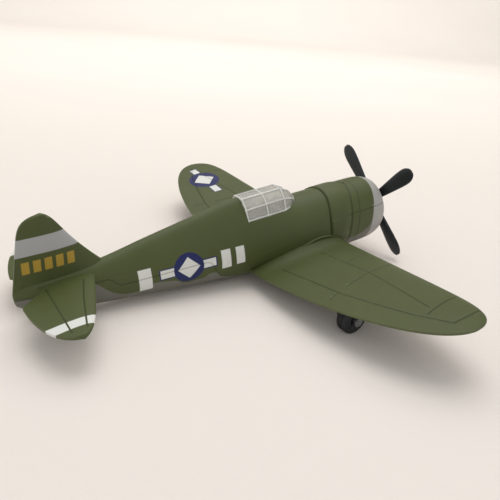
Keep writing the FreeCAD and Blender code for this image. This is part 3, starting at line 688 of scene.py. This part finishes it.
def liftFlaps(work):
    # the cooling flaps round the upper cowl stand a little proud between their two lines
    flaps = hull["flaps"]
    rearLine, frontLine = [sorted((z, x) for x, z in hull[name])
                           for name in ("cowlRear", "cowlFront")]
    work.normal_update()
    for corner in work.verts:
        x, z = corner.co.x, corner.co.z
        if x < flaps["aheadOf"] or z < flaps["above"] or corner.co.yz.length < flaps["clear"]:
            continue
        back, front = [np.interp(z, *zip(*line)) for line in (rearLine, frontLine)]
        share = (min(1.0, max(0.0, (x - back - 0.1) / flaps["step"]))
                 * min(1.0, max(0.0, (front - x) / flaps["run"])))
        fade = min(1.0, (z - flaps["above"]) / flaps["fade"])
        corner.co += corner.normal * flaps["lift"] * share * fade


def clearFin(piece):
    # no engraved lines, and so no painted groove shade, on the fin
    toShip = stance.inverted()
    for corner, mark in zip(piece.data.vertices, piece.data.attributes["groove"].data):
        spot = toShip @ corner.co
        if spot.x < fin["aheadLimit"] and spot.z > frameAt(max(spot.x, 0.3))[1] + 0.2:
            mark.value = 0.0


def makeHull():
    work = hullForm()
    engrave(work, [hull["parting"], hull["tailParting"], hull["cowlParting"]], sideOn,
            width=0.3, depth=0.12)
    engrave(work, [hull["cowlRear"], hull["cowlFront"]], sideOn, width=0.55, depth=0.2)
    engrave(work, [hull["cowlBand"]], sideOn, width=0.3, depth=0.1)
    liftFlaps(work)
    whole = toObject(work, "hull")
    finPiece = toObject(finForm(), "finForm")
    print("hull engraved:", len(whole.data.polygons), "faces")

    # the parting prism, below which everything belongs to the belly
    outline = ([(-6.0, 3.0)] + hull["tailParting"][:1] + hull["parting"]
               + [(83.5, -7.4), (83.5, 2.4), (120.0, 2.4), (120.0, -30.0), (-6.0, -30.0)])
    below = toObject(prism([Vector((x, -30.0, z)) for x, z in outline],
                           Vector((0, 60.0, 0))), "below")

    deck = hull["canopyDeck"]
    outline = deck["edge"] + [(x, -y) for x, y in reversed(deck["edge"])]
    seat = prism([Vector((x, y, deck["height"])) for x, y in outline], Vector((0, 0, 25.0)))
    pitBack, pitFront, pitSide, pitFloor = hull["cockpit"]
    pit = bmesh.new()
    slab(pit, (pitBack, -pitSide, pitFloor), (pitFront, pitSide, 30.0))
    seatTool, pitTool = toObject(seat, "seatTool"), toObject(pit, "pitTool")

    top = copyOf(whole, "fuselageTop")
    carve(top, below)
    carve(top, seatTool)
    carve(top, pitTool)
    carve(top, finPiece, "UNION")
    clearFin(top)
    belly = copyOf(whole, "belly")
    carve(belly, below, "INTERSECT")
    print("castings parted")

    joint = bmesh.new()
    slab(joint, (hull["bellyJoint"], -30.0, -30.0), (130.0, 30.0, 30.0))
    ahead = toObject(joint, "ahead")
    front, rear = copyOf(belly, "bellyFront"), copyOf(belly, "bellyRear")
    carve(front, ahead, "INTERSECT")
    carve(rear, ahead)

    discard(whole, finPiece, below, seatTool, pitTool, ahead, belly)
    return top, front, rear


def drill(piece, centre, radius, low, high, axis=(0, 0, 1), steps=32):
    work = bmesh.new()
    turned(work, [(0, low), (radius, low), (radius, high), (0, high)], centre, axis, steps)
    bmesh.ops.recalc_face_normals(work, faces=work.faces)
    tool = toObject(work, "drill")
    carve(piece, tool)
    discard(tool)


topCasting, frontCasting, rearCasting = makeHull()

bellyFittings = {"screwX": (84.0, 38.0), "screwLow": (-10.7, -6.5), "headRadius": 1.6,
                 "headHigh": 1.0, "socketX": 70.0, "socketRadius": 3.0,
                 "tailWheelX": 15.0, "slotHalf": (2.35, 1.15)}
for casting, x, low in zip((frontCasting, rearCasting), bellyFittings["screwX"],
                           bellyFittings["screwLow"]):
    drill(casting, (x, 0, low), bellyFittings["headRadius"], -3.0, bellyFittings["headHigh"])
drill(frontCasting, (bellyFittings["socketX"], 0, -13.0), bellyFittings["socketRadius"],
      0.0, 9.0)
slotWork = bmesh.new()
slotX, slotLong, slotWide = bellyFittings["tailWheelX"], *bellyFittings["slotHalf"]
slab(slotWork, (slotX - slotLong, -slotWide, -12.0), (slotX + slotLong, slotWide, -0.65))
slotTool = toObject(slotWork, "slotTool")
carve(rearCasting, slotTool)
discard(slotTool)
for casting in (topCasting, frontCasting, rearCasting):
    sharpen(casting)
print("belly drilled")

# where the olive ends on the fuselage side, from tail to nose: station, height
camouflage = [(0.0, 3.0), (5.5, 3.0), (16.5, 2.9), (18.3, 1.7), (19.6, 0.3), (21.5, -1.2),
              (24.5, -2.35), (26.7, -2.5), (28.6, -2.1), (30.3, -1.1), (32.9, -1.4),
              (36.3, -2.2), (39.0, -3.8), (41.5, -3.8), (43.5, -3.7), (45.3, -2.7),
              (46.6, -2.8), (48.2, -4.6), (51.3, -6.1), (58.0, -7.4), (84.0, -7.4),
              (88.0, -6.6), (91.2, -5.6), (94.0, -5.4), (96.5, -4.8), (98.4, -3.4),
              (99.3, -1.9), (100.0, -0.5), (110.0, 3.0)]
curveBox = {"long": 110.0, "tall": 20.0}  # room for that line in a 0 to 1 curve, mm
lip = {"edge": 99.6, "sweep": 3.2}
sideMarks = {
    "disc": (39.7, 0.6), "discRadius": 3.95, "diamond": 2.9,
    "bars": [((34.1, 0.55), (1.75, 1.15)), ((45.2, 0.6), (1.75, 1.1))],
    "blocks": [((28.6, 0.3), (1.6, 2.9)), ((49.8, 0.4), (1.3, 2.55)),
               ((53.8, 0.5), (1.2, 2.4))],
}
finMarks = {"band": (12.8, 16.8), "row": (8.7, 11.5), "start": 3.2, "pitch": 2.4, "count": 5,
            "block": 0.8, "lean": 0.12}


def fuselageMarkings(tree, ground, printed):
    x, z = printed.outputs["X"], printed.outputs["Z"]
    # belly grey under the hand-masked edge
    long, tall = curveBox["long"], curveBox["tall"]
    along = add(tree, "Math", {"operation": "DIVIDE"}, {0: x, 1: long})
    edge = add(tree, "FloatCurve", inputs={"Value": along})
    curve = edge.mapping.curves[0]
    while len(curve.points) > 2:
        curve.points.remove(curve.points[1])
    curve.points[0].location = (0.0, camouflage[0][1] / tall + 0.5)
    curve.points[-1].location = (1.0, camouflage[-1][1] / tall + 0.5)
    for station, height in camouflage[1:-1]:
        curve.points.new(station / long, height / tall + 0.5)
    edge.mapping.update()
    height = add(tree, "Math", {"operation": "MULTIPLY_ADD"}, {
        0: edge, 1: tall, 2: -tall / 2})
    under = add(tree, "Math", {"operation": "SUBTRACT"}, {0: height, 1: z})
    colour = over(tree, ground, edgeStep(tree, under, 0.12), inks["belly"])
    # light grey intake lip, its edge swept forward over the top
    rise = add(tree, "MapRange", inputs={0: z, 1: -1.9, 2: 8.8, 3: 0.0, 4: 1.0})
    bent = add(tree, "Math", {"operation": "POWER"}, {0: rise, 1: 1.6})
    lipEdge = add(tree, "Math", {"operation": "MULTIPLY_ADD"}, {
        0: bent, 1: lip["sweep"], 2: lip["edge"]})
    ahead = add(tree, "Math", {"operation": "SUBTRACT"}, {0: x, 1: lipEdge})
    colour = over(tree, colour, edgeStep(tree, ahead), inks["lip"])
    # fin band, and five plain blocks under it
    onFin = add(tree, "Math", {"operation": "LESS_THAN"}, {0: x, 1: fin["aheadLimit"]})
    low, high = finMarks["band"]
    band = blockMark(tree, x, z, (10.0, (low + high) / 2), (20.0, (high - low) / 2))
    bandHere = add(tree, "Math", {"operation": "MULTIPLY"}, {0: band, 1: onFin})
    colour = over(tree, colour, bandHere, inks["band"])
    low, high = finMarks["row"]
    for number in range(finMarks["count"]):
        centre = (finMarks["start"] + finMarks["block"] + number * finMarks["pitch"],
                  (low + high) / 2)
        block = blockMark(tree, x, z, centre, (finMarks["block"], (high - low) / 2),
                          finMarks["lean"])
        colour = over(tree, colour, block, inks["yellow"])
    # disc, diamond, bars and blocks on the fuselage side
    for centre, half in sideMarks["bars"]:
        rim = blockMark(tree, x, z, centre, (half[0] + 0.3, half[1] + 0.3))
        colour = over(tree, colour, rim, inks["blue"])
        colour = over(tree, colour, blockMark(tree, x, z, centre, half), inks["white"])
    for centre, half in sideMarks["blocks"]:
        colour = over(tree, colour, blockMark(tree, x, z, centre, half), inks["white"])
    disc = discMark(tree, x, z, sideMarks["disc"], sideMarks["discRadius"])
    colour = over(tree, colour, disc, inks["blue"])
    diamond = diamondMark(tree, x, z, sideMarks["disc"], sideMarks["diamond"])
    return over(tree, colour, diamond, inks["white"])


fuselageEnamel = sprayedEnamel("olive and grey sprayed enamel", fuselageMarkings)
fit(topCasting, "airframe", [fuselageEnamel], ["upper_fuselage"])
fit(frontCasting, "airframe", [fuselageEnamel], ["front_belly"])
fit(rearCasting, "airframe", [fuselageEnamel], ["rear_belly"])
print("fuselage finished")


wing = {
    "span": 62.15, "middle": 83.24, "sweep": 0.115, "front": 6.6, "frontPower": 17.0,
    "rear": 25.6, "rearPower": 1.63, "height": -7.1, "dihedral": 7.7, "ratio": 0.115,
    "edge": 0.55, "root": 8.0, "swell": 1.35, "reach": 2.3, "chordSteps": 30,
    # engraved lines in plan: station, distance from the centre line
    "lines": [
        [(76.3, 13.0), (76.5, 22.3), (76.7, 30.8), (75.8, 38.0), (74.0, 51.3)],
        [(84.2, 30.7), (76.7, 30.8), (68.3, 31.9)],
        [(84.8, 21.4), (76.5, 22.4)],
        [(63.0, 13.0), (63.7, 20.3), (64.9, 32.8), (67.0, 42.0), (69.5, 50.6), (73.1, 58.1)],
        [(64.9, 32.8), (61.5, 33.6)],
        [(71.8, 52.6), (76.0, 52.0), (82.0, 51.7)],
        [(73.1, 58.1), (77.0, 58.3), (81.0, 58.3)]],
}


def wingPoint(y, steps):
    out = abs(y)
    share = out / wing["span"]
    middle = wing["middle"] - wing["sweep"] * out
    front = middle + wing["front"] * math.sqrt(max(0.0, 1 - share ** wing["frontPower"]))
    rear = middle - wing["rear"] * math.sqrt(max(0.0, 1 - share ** wing["rearPower"]))
    height = wing["height"] + out * math.tan(math.radians(wing["dihedral"]))
    past = max(0.0, out - wing["root"])
    swell = 1 + wing["swell"] * math.exp(-(past / wing["reach"]) ** 2)
    return [Vector((x, y, height + offset)) for x, offset in aerofoil(
        front, rear, (front - rear) * wing["ratio"], wing["edge"], steps, swell)]


def spanStations(tip, spacing, last):
    # even steps inboard, closing up towards the tip
    count = int(tip / spacing)
    stations = [tip * math.sin(math.pi / 2 * step / count) for step in range(count)]
    even = [tip * step / count for step in range(count)]
    mixed = [0.3 * a + 0.7 * b for a, b in zip(even, stations)] + [0.5 * (tip + last), last]
    return [-y for y in reversed(mixed[1:])] + mixed


def planOnTop(corner):
    # plan place of the upper side; the lower side is sent far away
    if corner.normal.z < 0.2:
        return (1e4, 1e4)
    return (corner.co.x, abs(corner.co.y))


wingWork = bmesh.new()
loft(wingWork, [wingPoint(y, wing["chordSteps"]) for y in spanStations(61.9, 1.05, 62.05)])
closeUp(wingWork)
engrave(wingWork, wing["lines"], planOnTop, width=0.36, depth=0.14)
wingPiece = toObject(wingWork, "wing")
print("wing engraved:", len(wingPiece.data.polygons), "faces")

wingMarks = {"disc": (72.5, 47.3), "radius": 5.4, "diamond": 3.9,
             "bars": [((72.6, 54.7), (1.2, 1.8)), ((72.7, 39.5), (1.3, 2.1))]}


def wingMarkings(tree, ground, printed):
    x, y, z = printed.outputs["X"], printed.outputs["Y"], printed.outputs["Z"]
    # belly grey underneath
    lower = facingDown(tree)
    colour = over(tree, ground, lower, inks["belly"])
    upper = add(tree, "Math", {"operation": "SUBTRACT", "use_clamp": True}, {
        0: 1.0, 1: lower})
    masks = []
    for centre, half in wingMarks["bars"]:
        masks.append((blockMark(tree, x, y, centre, (half[0] + 0.3, half[1] + 0.3)), "blue"))
        masks.append((blockMark(tree, x, y, centre, half), "white"))
    masks.append((discMark(tree, x, y, wingMarks["disc"], wingMarks["radius"]), "blue"))
    masks.append((diamondMark(tree, x, y, wingMarks["disc"], wingMarks["diamond"]), "white"))
    for mask, ink in masks:
        shown = add(tree, "Math", {"operation": "MULTIPLY"}, {0: mask, 1: upper})
        colour = over(tree, colour, shown, inks[ink])
    return colour


fit(wingPiece, "airframe",
    [sprayedEnamel("olive sprayed wing", wingMarkings)], ["wing"])


bead = {"radius": 0.42, "path": [(56.0, -6.3), (58.5, -5.7), (61.7, -5.0), (65.0, -4.4),
                                 (68.4, -3.8), (72.0, -2.9), (75.2, -2.1), (77.5, -1.65),
                                 (79.7, -1.5), (82.5, -1.9), (85.1, -2.8), (87.2, -4.1),
                                 (88.8, -5.5)]}
fairing = {"back": 90.2, "front": 95.6, "half": 0.85, "high": 0.42}


def hullSide(x, z):
    # half width of the fuselage at a station and height
    x, top, bottom, half, wide, pinch = frameAt(x)
    reach = (top - wide) if z > wide else (wide - bottom)
    rise = min(1.0, abs(z - wide) / reach)
    return half * math.sqrt(1 - rise * rise) * (1 - (pinch * rise * rise if z > wide else 0.0))


def smoothPath(points, steps):
    found = []
    for k in range(len(points) - 1):
        before, start = points[max(k - 1, 0)], points[k]
        end, after = points[k + 1], points[min(k + 2, len(points) - 1)]
        for step in range(steps):
            t = step / steps
            found.append(0.5 * ((2 * start) + (end - before) * t
                                + (2 * before - 5 * start + 4 * end - after) * t * t
                                + (3 * start - before - 3 * end + after) * t ** 3))
    return found + [points[-1]]


def makeBeads():
    work = bmesh.new()
    for sign in (-1, 1):
        path = smoothPath([Vector((x, sign * (hullSide(x, z) + 0.02), z))
                           for x, z in bead["path"]], 4)
        rings = []
        for k, point in enumerate(path):
            run = (path[min(k + 1, len(path) - 1)] - path[max(k - 1, 0)]).normalized()
            side = run.cross(Vector((0, 1, 0))).normalized()
            out = side.cross(run)
            share = k / (len(path) - 1)
            radius = bead["radius"] * (0.15 + 0.85 * math.sin(math.pi * share) ** 0.5)
            rings.append([point + (side * math.cos(2 * math.pi * n / 12)
                                   + out * math.sin(2 * math.pi * n / 12)) * radius
                          for n in range(12)])
        loft(work, rings)
    closeUp(work)
    return toObject(work, "rootBeads")


def makeFairing():
    rings = []
    for step in range(15):
        share = 0.02 + 0.96 * step / 14
        x = fairing["back"] + (fairing["front"] - fairing["back"]) * share
        swell = math.sin(math.pi * share ** 0.8) ** 0.6
        top = frameAt(x)[1]
        rings.append([Vector((x, fairing["half"] * swell * math.cos(2 * math.pi * n / 20),
                              top - 0.1 + (fairing["high"] + 0.1) * swell
                              * math.sin(2 * math.pi * n / 20))) for n in range(20)])
    work = bmesh.new()
    loft(work, rings)
    closeUp(work)
    return toObject(work, "cowlFairing")


fit(makeBeads(), "airframe", [fuselageEnamel])
fit(makeFairing(), "airframe", [fuselageEnamel])
print("beads and fairing finished")


tail = {"span": 23.8, "middle": 9.85, "sweep": 0.04, "front": 8.8, "frontPower": 0.71,
        "rear": 9.0, "rearPower": 2.32, "height": 4.7, "thick": 1.7, "edge": 0.6,
        "thinning": 0.45, "notch": 4.4, "notchSide": 3.5, "notchEnd": 7.3,
        "lines": [[(6.6, 3.0), (6.8, 12.0), (7.1, 21.8)],
                  [(14.6, 4.0), (12.4, 11.5), (10.2, 21.4)]],
        "band": (18.1, 20.7)}


def tailPoint(y, steps):
    out = abs(y)
    share = max(out / tail["span"], 0.02)
    middle = tail["middle"] - tail["sweep"] * out
    front = middle + tail["front"] * math.sqrt(1 - share ** tail["frontPower"])
    rear = middle - tail["rear"] * math.sqrt(1 - share ** tail["rearPower"])
    rear += tail["notch"] * min(1.0, max(0.0, (tail["notchEnd"] - out)
                                         / (tail["notchEnd"] - tail["notchSide"])))
    return [Vector((x, y, tail["height"] + offset)) for x, offset in aerofoil(
        front, rear, tail["thick"] * (1 - tail["thinning"] * share), tail["edge"], steps)]


tailWork = bmesh.new()
loft(tailWork, [tailPoint(y, 20) for y in spanStations(23.6, 0.6, 23.77)])
closeUp(tailWork)
engrave(tailWork, tail["lines"], planOnTop, width=0.34, depth=0.12)
tailPiece = toObject(tailWork, "tailplane")


def tailMarkings(tree, ground, printed):
    lower = facingDown(tree)
    colour = over(tree, ground, lower, inks["belly"])
    out = add(tree, "Math", {"operation": "ABSOLUTE"}, {0: printed.outputs["Y"]})
    low, high = tail["band"]
    band = blockMark(tree, printed.outputs["X"], out, (8.0, (low + high) / 2),
                     (20.0, (high - low) / 2))
    # the band stops short of each engraved line
    line = add(tree, "Attribute", {"attribute_name": "groove"})
    clear = add(tree, "MapRange", inputs={
        0: line.outputs["Fac"], 1: 0.15, 2: 0.4, 3: 1.0, 4: 0.0})
    shown = add(tree, "Math", {"operation": "MULTIPLY"}, {0: band, 1: clear})
    return over(tree, colour, shown, inks["white"])


fit(tailPiece, "airframe",
    [sprayedEnamel("olive sprayed tailplane", tailMarkings)], ["tailplane"])
print("wing and tailplane finished")


canopy = {
    "stations": (58.0, 70.4, 73.2, 75.6),
    # half width and height of the sill, rail and crown corners at each station
    "corners": (((4.9, 7.6), (3.8, 10.6), (1.7, 12.95)),
                ((4.7, 7.6), (3.8, 10.9), (1.7, 13.2)),
                ((3.6, 7.6), (3.0, 10.0), (1.55, 11.9)),
                ((2.0, 7.6), (1.5, 8.5), (1.1, 9.2))),
    "wall": 0.75, "archStation": 64.6, "ribWide": 0.42, "ribHigh": 0.16,
}


def canopyCorner(station, corner, sign):
    # a corner's place at any station, by straight lines between the given ones
    stations = canopy["stations"]
    k = min(sum(1 for edge in stations[1:-1] if station > edge), len(stations) - 2)
    t = (station - stations[k]) / (stations[k + 1] - stations[k])
    a, b = canopy["corners"][k][corner], canopy["corners"][k + 1][corner]
    return Vector((station, sign * (a[0] + (b[0] - a[0]) * t), a[1] + (b[1] - a[1]) * t))


def canopyRing(station):
    return ([canopyCorner(station, corner, -1) for corner in (0, 1, 2)]
            + [canopyCorner(station, corner, 1) for corner in (2, 1, 0)])


def makeCanopy():
    work = bmesh.new()
    loft(work, [canopyRing(station) for station in canopy["stations"]])
    closeUp(work)
    under = [face for face in work.faces if face.normal.z < -0.9]
    bmesh.ops.delete(work, geom=under, context="FACES")
    sharp = [edge for edge in work.edges
             if len(edge.link_faces) == 2 and edge.calc_face_angle(0.0) > 0.15]
    bmesh.ops.bevel(work, geom=sharp, offset=0.28, offset_type="OFFSET", affect="EDGES",
                    segments=3, profile=0.5, material=-1)
    bmesh.ops.recalc_face_normals(work, faces=work.faces)
    if sum((face.calc_center_median() - Vector((66, 0, 8))).dot(face.normal)
           for face in work.faces) < 0:
        bmesh.ops.reverse_faces(work, faces=work.faces)
    bmesh.ops.solidify(work, geom=work.faces[:], thickness=canopy["wall"])
    return toObject(work, "canopy", crease=25.0)


def rib(work, start, end, outward, wide, high):
    # a half-sunk strip along an edge line, ends overlapping its neighbours
    start, end = Vector(start), Vector(end)
    run = (end - start).normalized()
    outward = (outward - run * outward.dot(run)).normalized()
    side = run.cross(outward)
    made = bmesh.ops.create_cube(work, size=1.0)["verts"]
    length = (end - start).length + wide * 0.6
    bmesh.ops.scale(work, vec=(length, wide, high * 2), verts=made)
    turn = Matrix((run, side, outward)).transposed()
    bmesh.ops.transform(work, matrix=Matrix.Translation((start + end) / 2) @ turn.to_4x4(),
                        verts=made)
    edges = list({edge for corner in made for edge in corner.link_edges
                  if edge.calc_length() > wide * 1.2})
    bmesh.ops.bevel(work, geom=edges, offset=high * 0.7, offset_type="OFFSET", affect="EDGES",
                    segments=2, profile=0.5, material=-1)


def makeFrames():
    work = bmesh.new()
    wide, high = canopy["ribWide"], canopy["ribHigh"]
    rear, shoulder, brow, nose = canopy["stations"]
    core = Vector((66.0, 0.0, 9.0))
    lift = Vector((0, 0, 0.2))
    spans = list(zip(canopy["stations"], canopy["stations"][1:]))
    hoops = (rear + 0.25, canopy["archStation"], shoulder, nose - 0.2)

    def bar(first, second, scale=1.0):
        outward = (first + second) / 2 - core
        outward.x *= 0.15
        rib(work, first, second, outward, wide * scale, high)

    for sign in (-1, 1):
        for corner in (1, 2):
            for start, end in spans:
                bar(canopyCorner(start, corner, sign), canopyCorner(end, corner, sign))
        for lower in (0, 1):
            for station in hoops:
                bar(canopyCorner(station, lower, sign), canopyCorner(station, lower + 1, sign))
        for start, end in spans:
            bar(canopyCorner(start, 0, sign) + lift, canopyCorner(end, 0, sign) + lift, 1.2)
    for station in hoops:
        bar(canopyCorner(station, 2, -1), canopyCorner(station, 2, 1))
    bmesh.ops.recalc_face_normals(work, faces=work.faces)
    return toObject(work, "canopyFrames")


fit(makeCanopy(), "airframe", [clearStyrene()], ["canopy"])
fit(makeFrames(), "airframe", [frostedFrames()])
print("canopy finished")


propeller = {
    "hubBack": 106.3, "hubRadius": 1.95, "hubFront": 109.7, "domeFront": 111.1, "bore": 0.8,
    "tip": 19.8, "root": 2.2, "wide": 5.2, "thick": 1.3, "pitch": 95.0, "rest": 47.2,
    "paddle": 0.86, "blades": 4, "around": 20, "bolts": 8, "boltRing": 1.68,
    "stations": (1.2, 2.2, 3.2, 4.6, 6.0, 7.5, 9.0, 10.5, 12.0, 13.4, 14.8, 16.0, 16.9, 17.6,
                 18.2, 18.7, 19.05, 19.3, 19.5, 19.65),
}


def bladeRing(radius):
    share = max(0.0, (radius - propeller["hubRadius"])
                / (propeller["tip"] - propeller["hubRadius"]))
    spread = min(1.0, share / propeller["paddle"])
    taper = math.sqrt(max(0.0, 1 - share ** 9))
    width = (propeller["root"] + (propeller["wide"] - propeller["root"]) * spread) * taper
    thick = max(propeller["thick"] * (1.2 - 0.4 * share) * taper, 0.08)
    turn = Matrix.Rotation(math.radians(propeller["pitch"]), 3, "Z")
    points = []
    for step in range(propeller["around"]):
        angle = 2 * math.pi * step / propeller["around"]
        out, up = math.cos(angle), math.sin(angle)
        points.append(turn @ Vector((width / 2 * out, thick / 2 * math.copysign(
            abs(up) ** 0.8, up), 0))
                      + Vector((bladePlane, 0, radius)))
    return points


def makePropeller():
    work = bmesh.new()
    loft(work, [bladeRing(radius) for radius in propeller["stations"]])
    bmesh.ops.holes_fill(work, edges=work.edges)
    turned(work, [(0.85, 3.4), (1.15, 3.3), (1.2, 1.9), (1.0, 1.7)], (bladePlane, 0, 0),
           (0, 0, 1), 20)
    repeatRound(work, propeller["blades"])
    back, front, dome = propeller["hubBack"], propeller["hubFront"], propeller["domeFront"]
    radius = propeller["hubRadius"]
    hub = bmesh.new()
    turned(hub, [(propeller["bore"], back), (radius - 0.15, back), (radius, back + 0.15),
                 (radius, front - 0.35), (radius - 0.1, front - 0.1), (radius - 0.35, front),
                 (1.45, front), (1.4, front + 0.15), (1.3, front + 0.7), (1.05, front + 1.1),
                 (0.7, front + 1.3), (0.3, dome - 0.02), (0.0, dome)],
           (0, 0, 0), (1, 0, 0), 40)
    bolt = bmesh.new()
    ring = propeller["boltRing"]
    for number in range(propeller["bolts"]):
        angle = 2 * math.pi * (number + 0.5) / propeller["bolts"]
        turned(bolt, [(0.0, 0.18), (0.1, 0.18), (0.14, 0.12), (0.14, -0.1)],
               (front, ring * math.cos(angle), ring * math.sin(angle)), (1, 0, 0), 10)
    for extra in (hub, bolt):
        absorb(work, extra)
    bmesh.ops.recalc_face_normals(work, faces=work.faces)
    bmesh.ops.rotate(work, cent=(0, 0, 0), verts=work.verts,
                     matrix=Matrix.Rotation(math.radians(propeller["rest"]), 3, "X"))
    return toObject(work, "propeller")


propellerBlack = moulded("black moulded propeller", "#1b1f21", "#262b2d", 0.42, 2.5)
fit(makePropeller(), "propeller", [propellerBlack], ["propeller"])
print("propeller finished")


engine = {"back": 94.0, "caseRadius": 2.7, "caseFront": 99.4, "noseRadius": 1.9,
          "noseFront": 104.3, "bush": 1.3, "pots": 9, "potRadius": 0.95, "potReach": 5.7,
          "potStation": 96.9, "potLow": 2.2, "barrel": 0.62, "fins": 7}


def makeEngine():
    work = bmesh.new()
    back, front, nose = engine["back"], engine["caseFront"], engine["noseFront"]
    case, throat = engine["caseRadius"], engine["noseRadius"]
    turned(work, [(engine["bush"], back), (case, back), (case, front - 0.2),
                  (case - 0.15, front), (throat + 0.35, front + 0.25), (throat + 0.1, front + 0.7),
                  (throat, front + 1.0), (throat, nose - 0.6), (throat + 0.2, nose - 0.5),
                  (throat + 0.2, nose - 0.15), (throat, nose), (engine["bush"], nose)],
           (0, 0, 0), (1, 0, 0), 45)
    top, low, barrel = engine["potReach"], engine["potLow"], engine["barrel"]
    profile = [(barrel, low)]
    step = (top - 0.55 - low - 0.4) / engine["fins"]
    for number in range(engine["fins"]):
        base = low + 0.4 + number * step
        profile += [(barrel, base), (engine["potRadius"], base + 0.06),
                    (engine["potRadius"], base + step * 0.42), (barrel, base + step * 0.5)]
    profile += [(barrel, top - 0.5), (0.85, top - 0.45), (0.85, top - 0.1), (0.7, top),
                (0.0, top)]
    pot = bmesh.new()
    turned(pot, profile, (engine["potStation"], 0, 0), (0, 0, 1), 18)
    for side in (-1, 1):
        turned(pot, [(0.0, 5.2), (0.16, 5.2), (0.16, 2.4), (0.0, 2.4)],
               (engine["potStation"] + 1.25, 0.5 * side, 0), (0, 0, 1), 8)
    repeatRound(pot, engine["pots"])
    absorb(work, pot)
    bmesh.ops.recalc_face_normals(work, faces=work.faces)
    return toObject(work, "radialEngine")


fit(makeEngine(), "airframe",
    [moulded("grey moulded engine", "#4a4c4e", "#5c5e60", 0.5)], ["radial_engine"])
print("engine finished")


wheel = {"tyre": 3.7, "half": 1.6, "rim": 2.2, "bore": 0.63, "head": 1.15, "dish": 0.5,
         "nuts": 6, "nutRing": 1.35,
         "tread": (0.0, 0.55, -0.55)}


def wheelPlace(node):
    low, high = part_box(node)
    return Matrix.Translation((low + high) / 2) @ Matrix.Diagonal((mm, mm, mm, 1.0))


def makeTyre(side):
    outer, half, rim = wheel["tyre"], wheel["half"], wheel["rim"]
    work = bmesh.new()
    profile = [(rim, -half + 0.15), (rim + 0.25, -half), (rim + 0.7, -half + 0.02)]
    for step in range(1, 6):
        angle = math.pi / 2 * step / 6
        profile.append((outer - 0.8 + 0.8 * math.sin(angle), -half + 0.8 * (1 - math.cos(angle))))
    for centre in sorted(wheel["tread"]):
        profile += [(outer, centre - 0.16), (outer - 0.14, centre - 0.09),
                    (outer - 0.14, centre + 0.09), (outer, centre + 0.16)]
    profile += [(out, -along) for out, along in reversed(profile[:8])]
    profile.append((rim, -half + 0.15))
    turned(work, profile, (0, 0, 0), (0, 1, 0), 56)
    bmesh.ops.recalc_face_normals(work, faces=work.faces)
    return toObject(work, side + "Tyre", wheelPlace(side + "_tyre"), 30.0)


def makeWheelHub(side):
    sign = 1 if side == "port" else -1
    half, rim, dish = wheel["half"], wheel["rim"], wheel["dish"]
    work = bmesh.new()
    turned(work, [(wheel["bore"], -half + 0.1), (1.3, -half + 0.1), (1.5, -half + 0.4),
                  (1.8, -half + 0.35), (rim - 0.12, -half), (rim, -half + 0.12),
                  (rim, half - 0.12), (rim - 0.12, half), (rim - dish + 0.05, half - 0.05),
                  (rim - 2 * dish + 0.2, half - dish), (wheel["head"] + 0.05, half - dish),
                  (wheel["head"], half - 0.1), (wheel["head"] - 0.1, half), (wheel["bore"], half),
                  (wheel["bore"], -half + 0.1)],
           (0, 0, 0), (0, sign, 0), 40)
    ring = wheel["nutRing"]
    for number in range(wheel["nuts"]):
        angle = 2 * math.pi * number / wheel["nuts"]
        turned(work, [(0.0, half - dish + 0.16), (0.1, half - dish + 0.16),
                      (0.13, half - dish + 0.1), (0.13, half - dish - 0.05)],
               (ring * math.cos(angle), 0, ring * math.sin(angle)), (0, sign, 0), 8)
    bmesh.ops.recalc_face_normals(work, faces=work.faces)
    return toObject(work, side + "WheelHub", wheelPlace(side + "_wheel_hub"), 30.0)


rubber = moulded("black moulded tyre", "#17191b", "#202325", 0.62, 4.0, 0.2)
blackPlastic = moulded("black moulded plastic", "#1a1c1e", "#242729", 0.4)
steel = metalFinish("drawn steel pin", "#8d8f90", "#b4b6b8", 0.3)
brass = metalFinish("turned brass bush", "#8a6a35", "#b08d4c", 0.32)
cockpitGrey = moulded("grey moulded cockpit", "#a9aa9e", "#bcbdb2", 0.55)
engineGrey = moulded("grey moulded bulkhead", "#2d2f30", "#383a3b", 0.55)
for side in ("port", "starboard"):
    body = side + "_wheel"
    fit(makeTyre(side), body, [rubber], [side + "_tyre"])
    fit(makeWheelHub(side), body, [blackPlastic], [side + "_wheel_hub"])

carried = {
    "cockpit_tub": cockpitGrey, "pilot_seat": cockpitGrey, "engine_bulkhead": engineGrey,
    "propeller_bush": brass, "propeller_shaft": steel, "shaft_collar": steel,
    "tail_wheel": rubber, "tail_pin": steel, "belly_screws": steel, "stand_socket": blackPlastic,
    "port_axle": steel, "starboard_axle": steel, "port_strut": blackPlastic,
    "starboard_strut": blackPlastic,
}
for name, finish in carried.items():
    for place in frame["nodes"][name].material_slots:
        place.material = finish
print("small pieces finished")
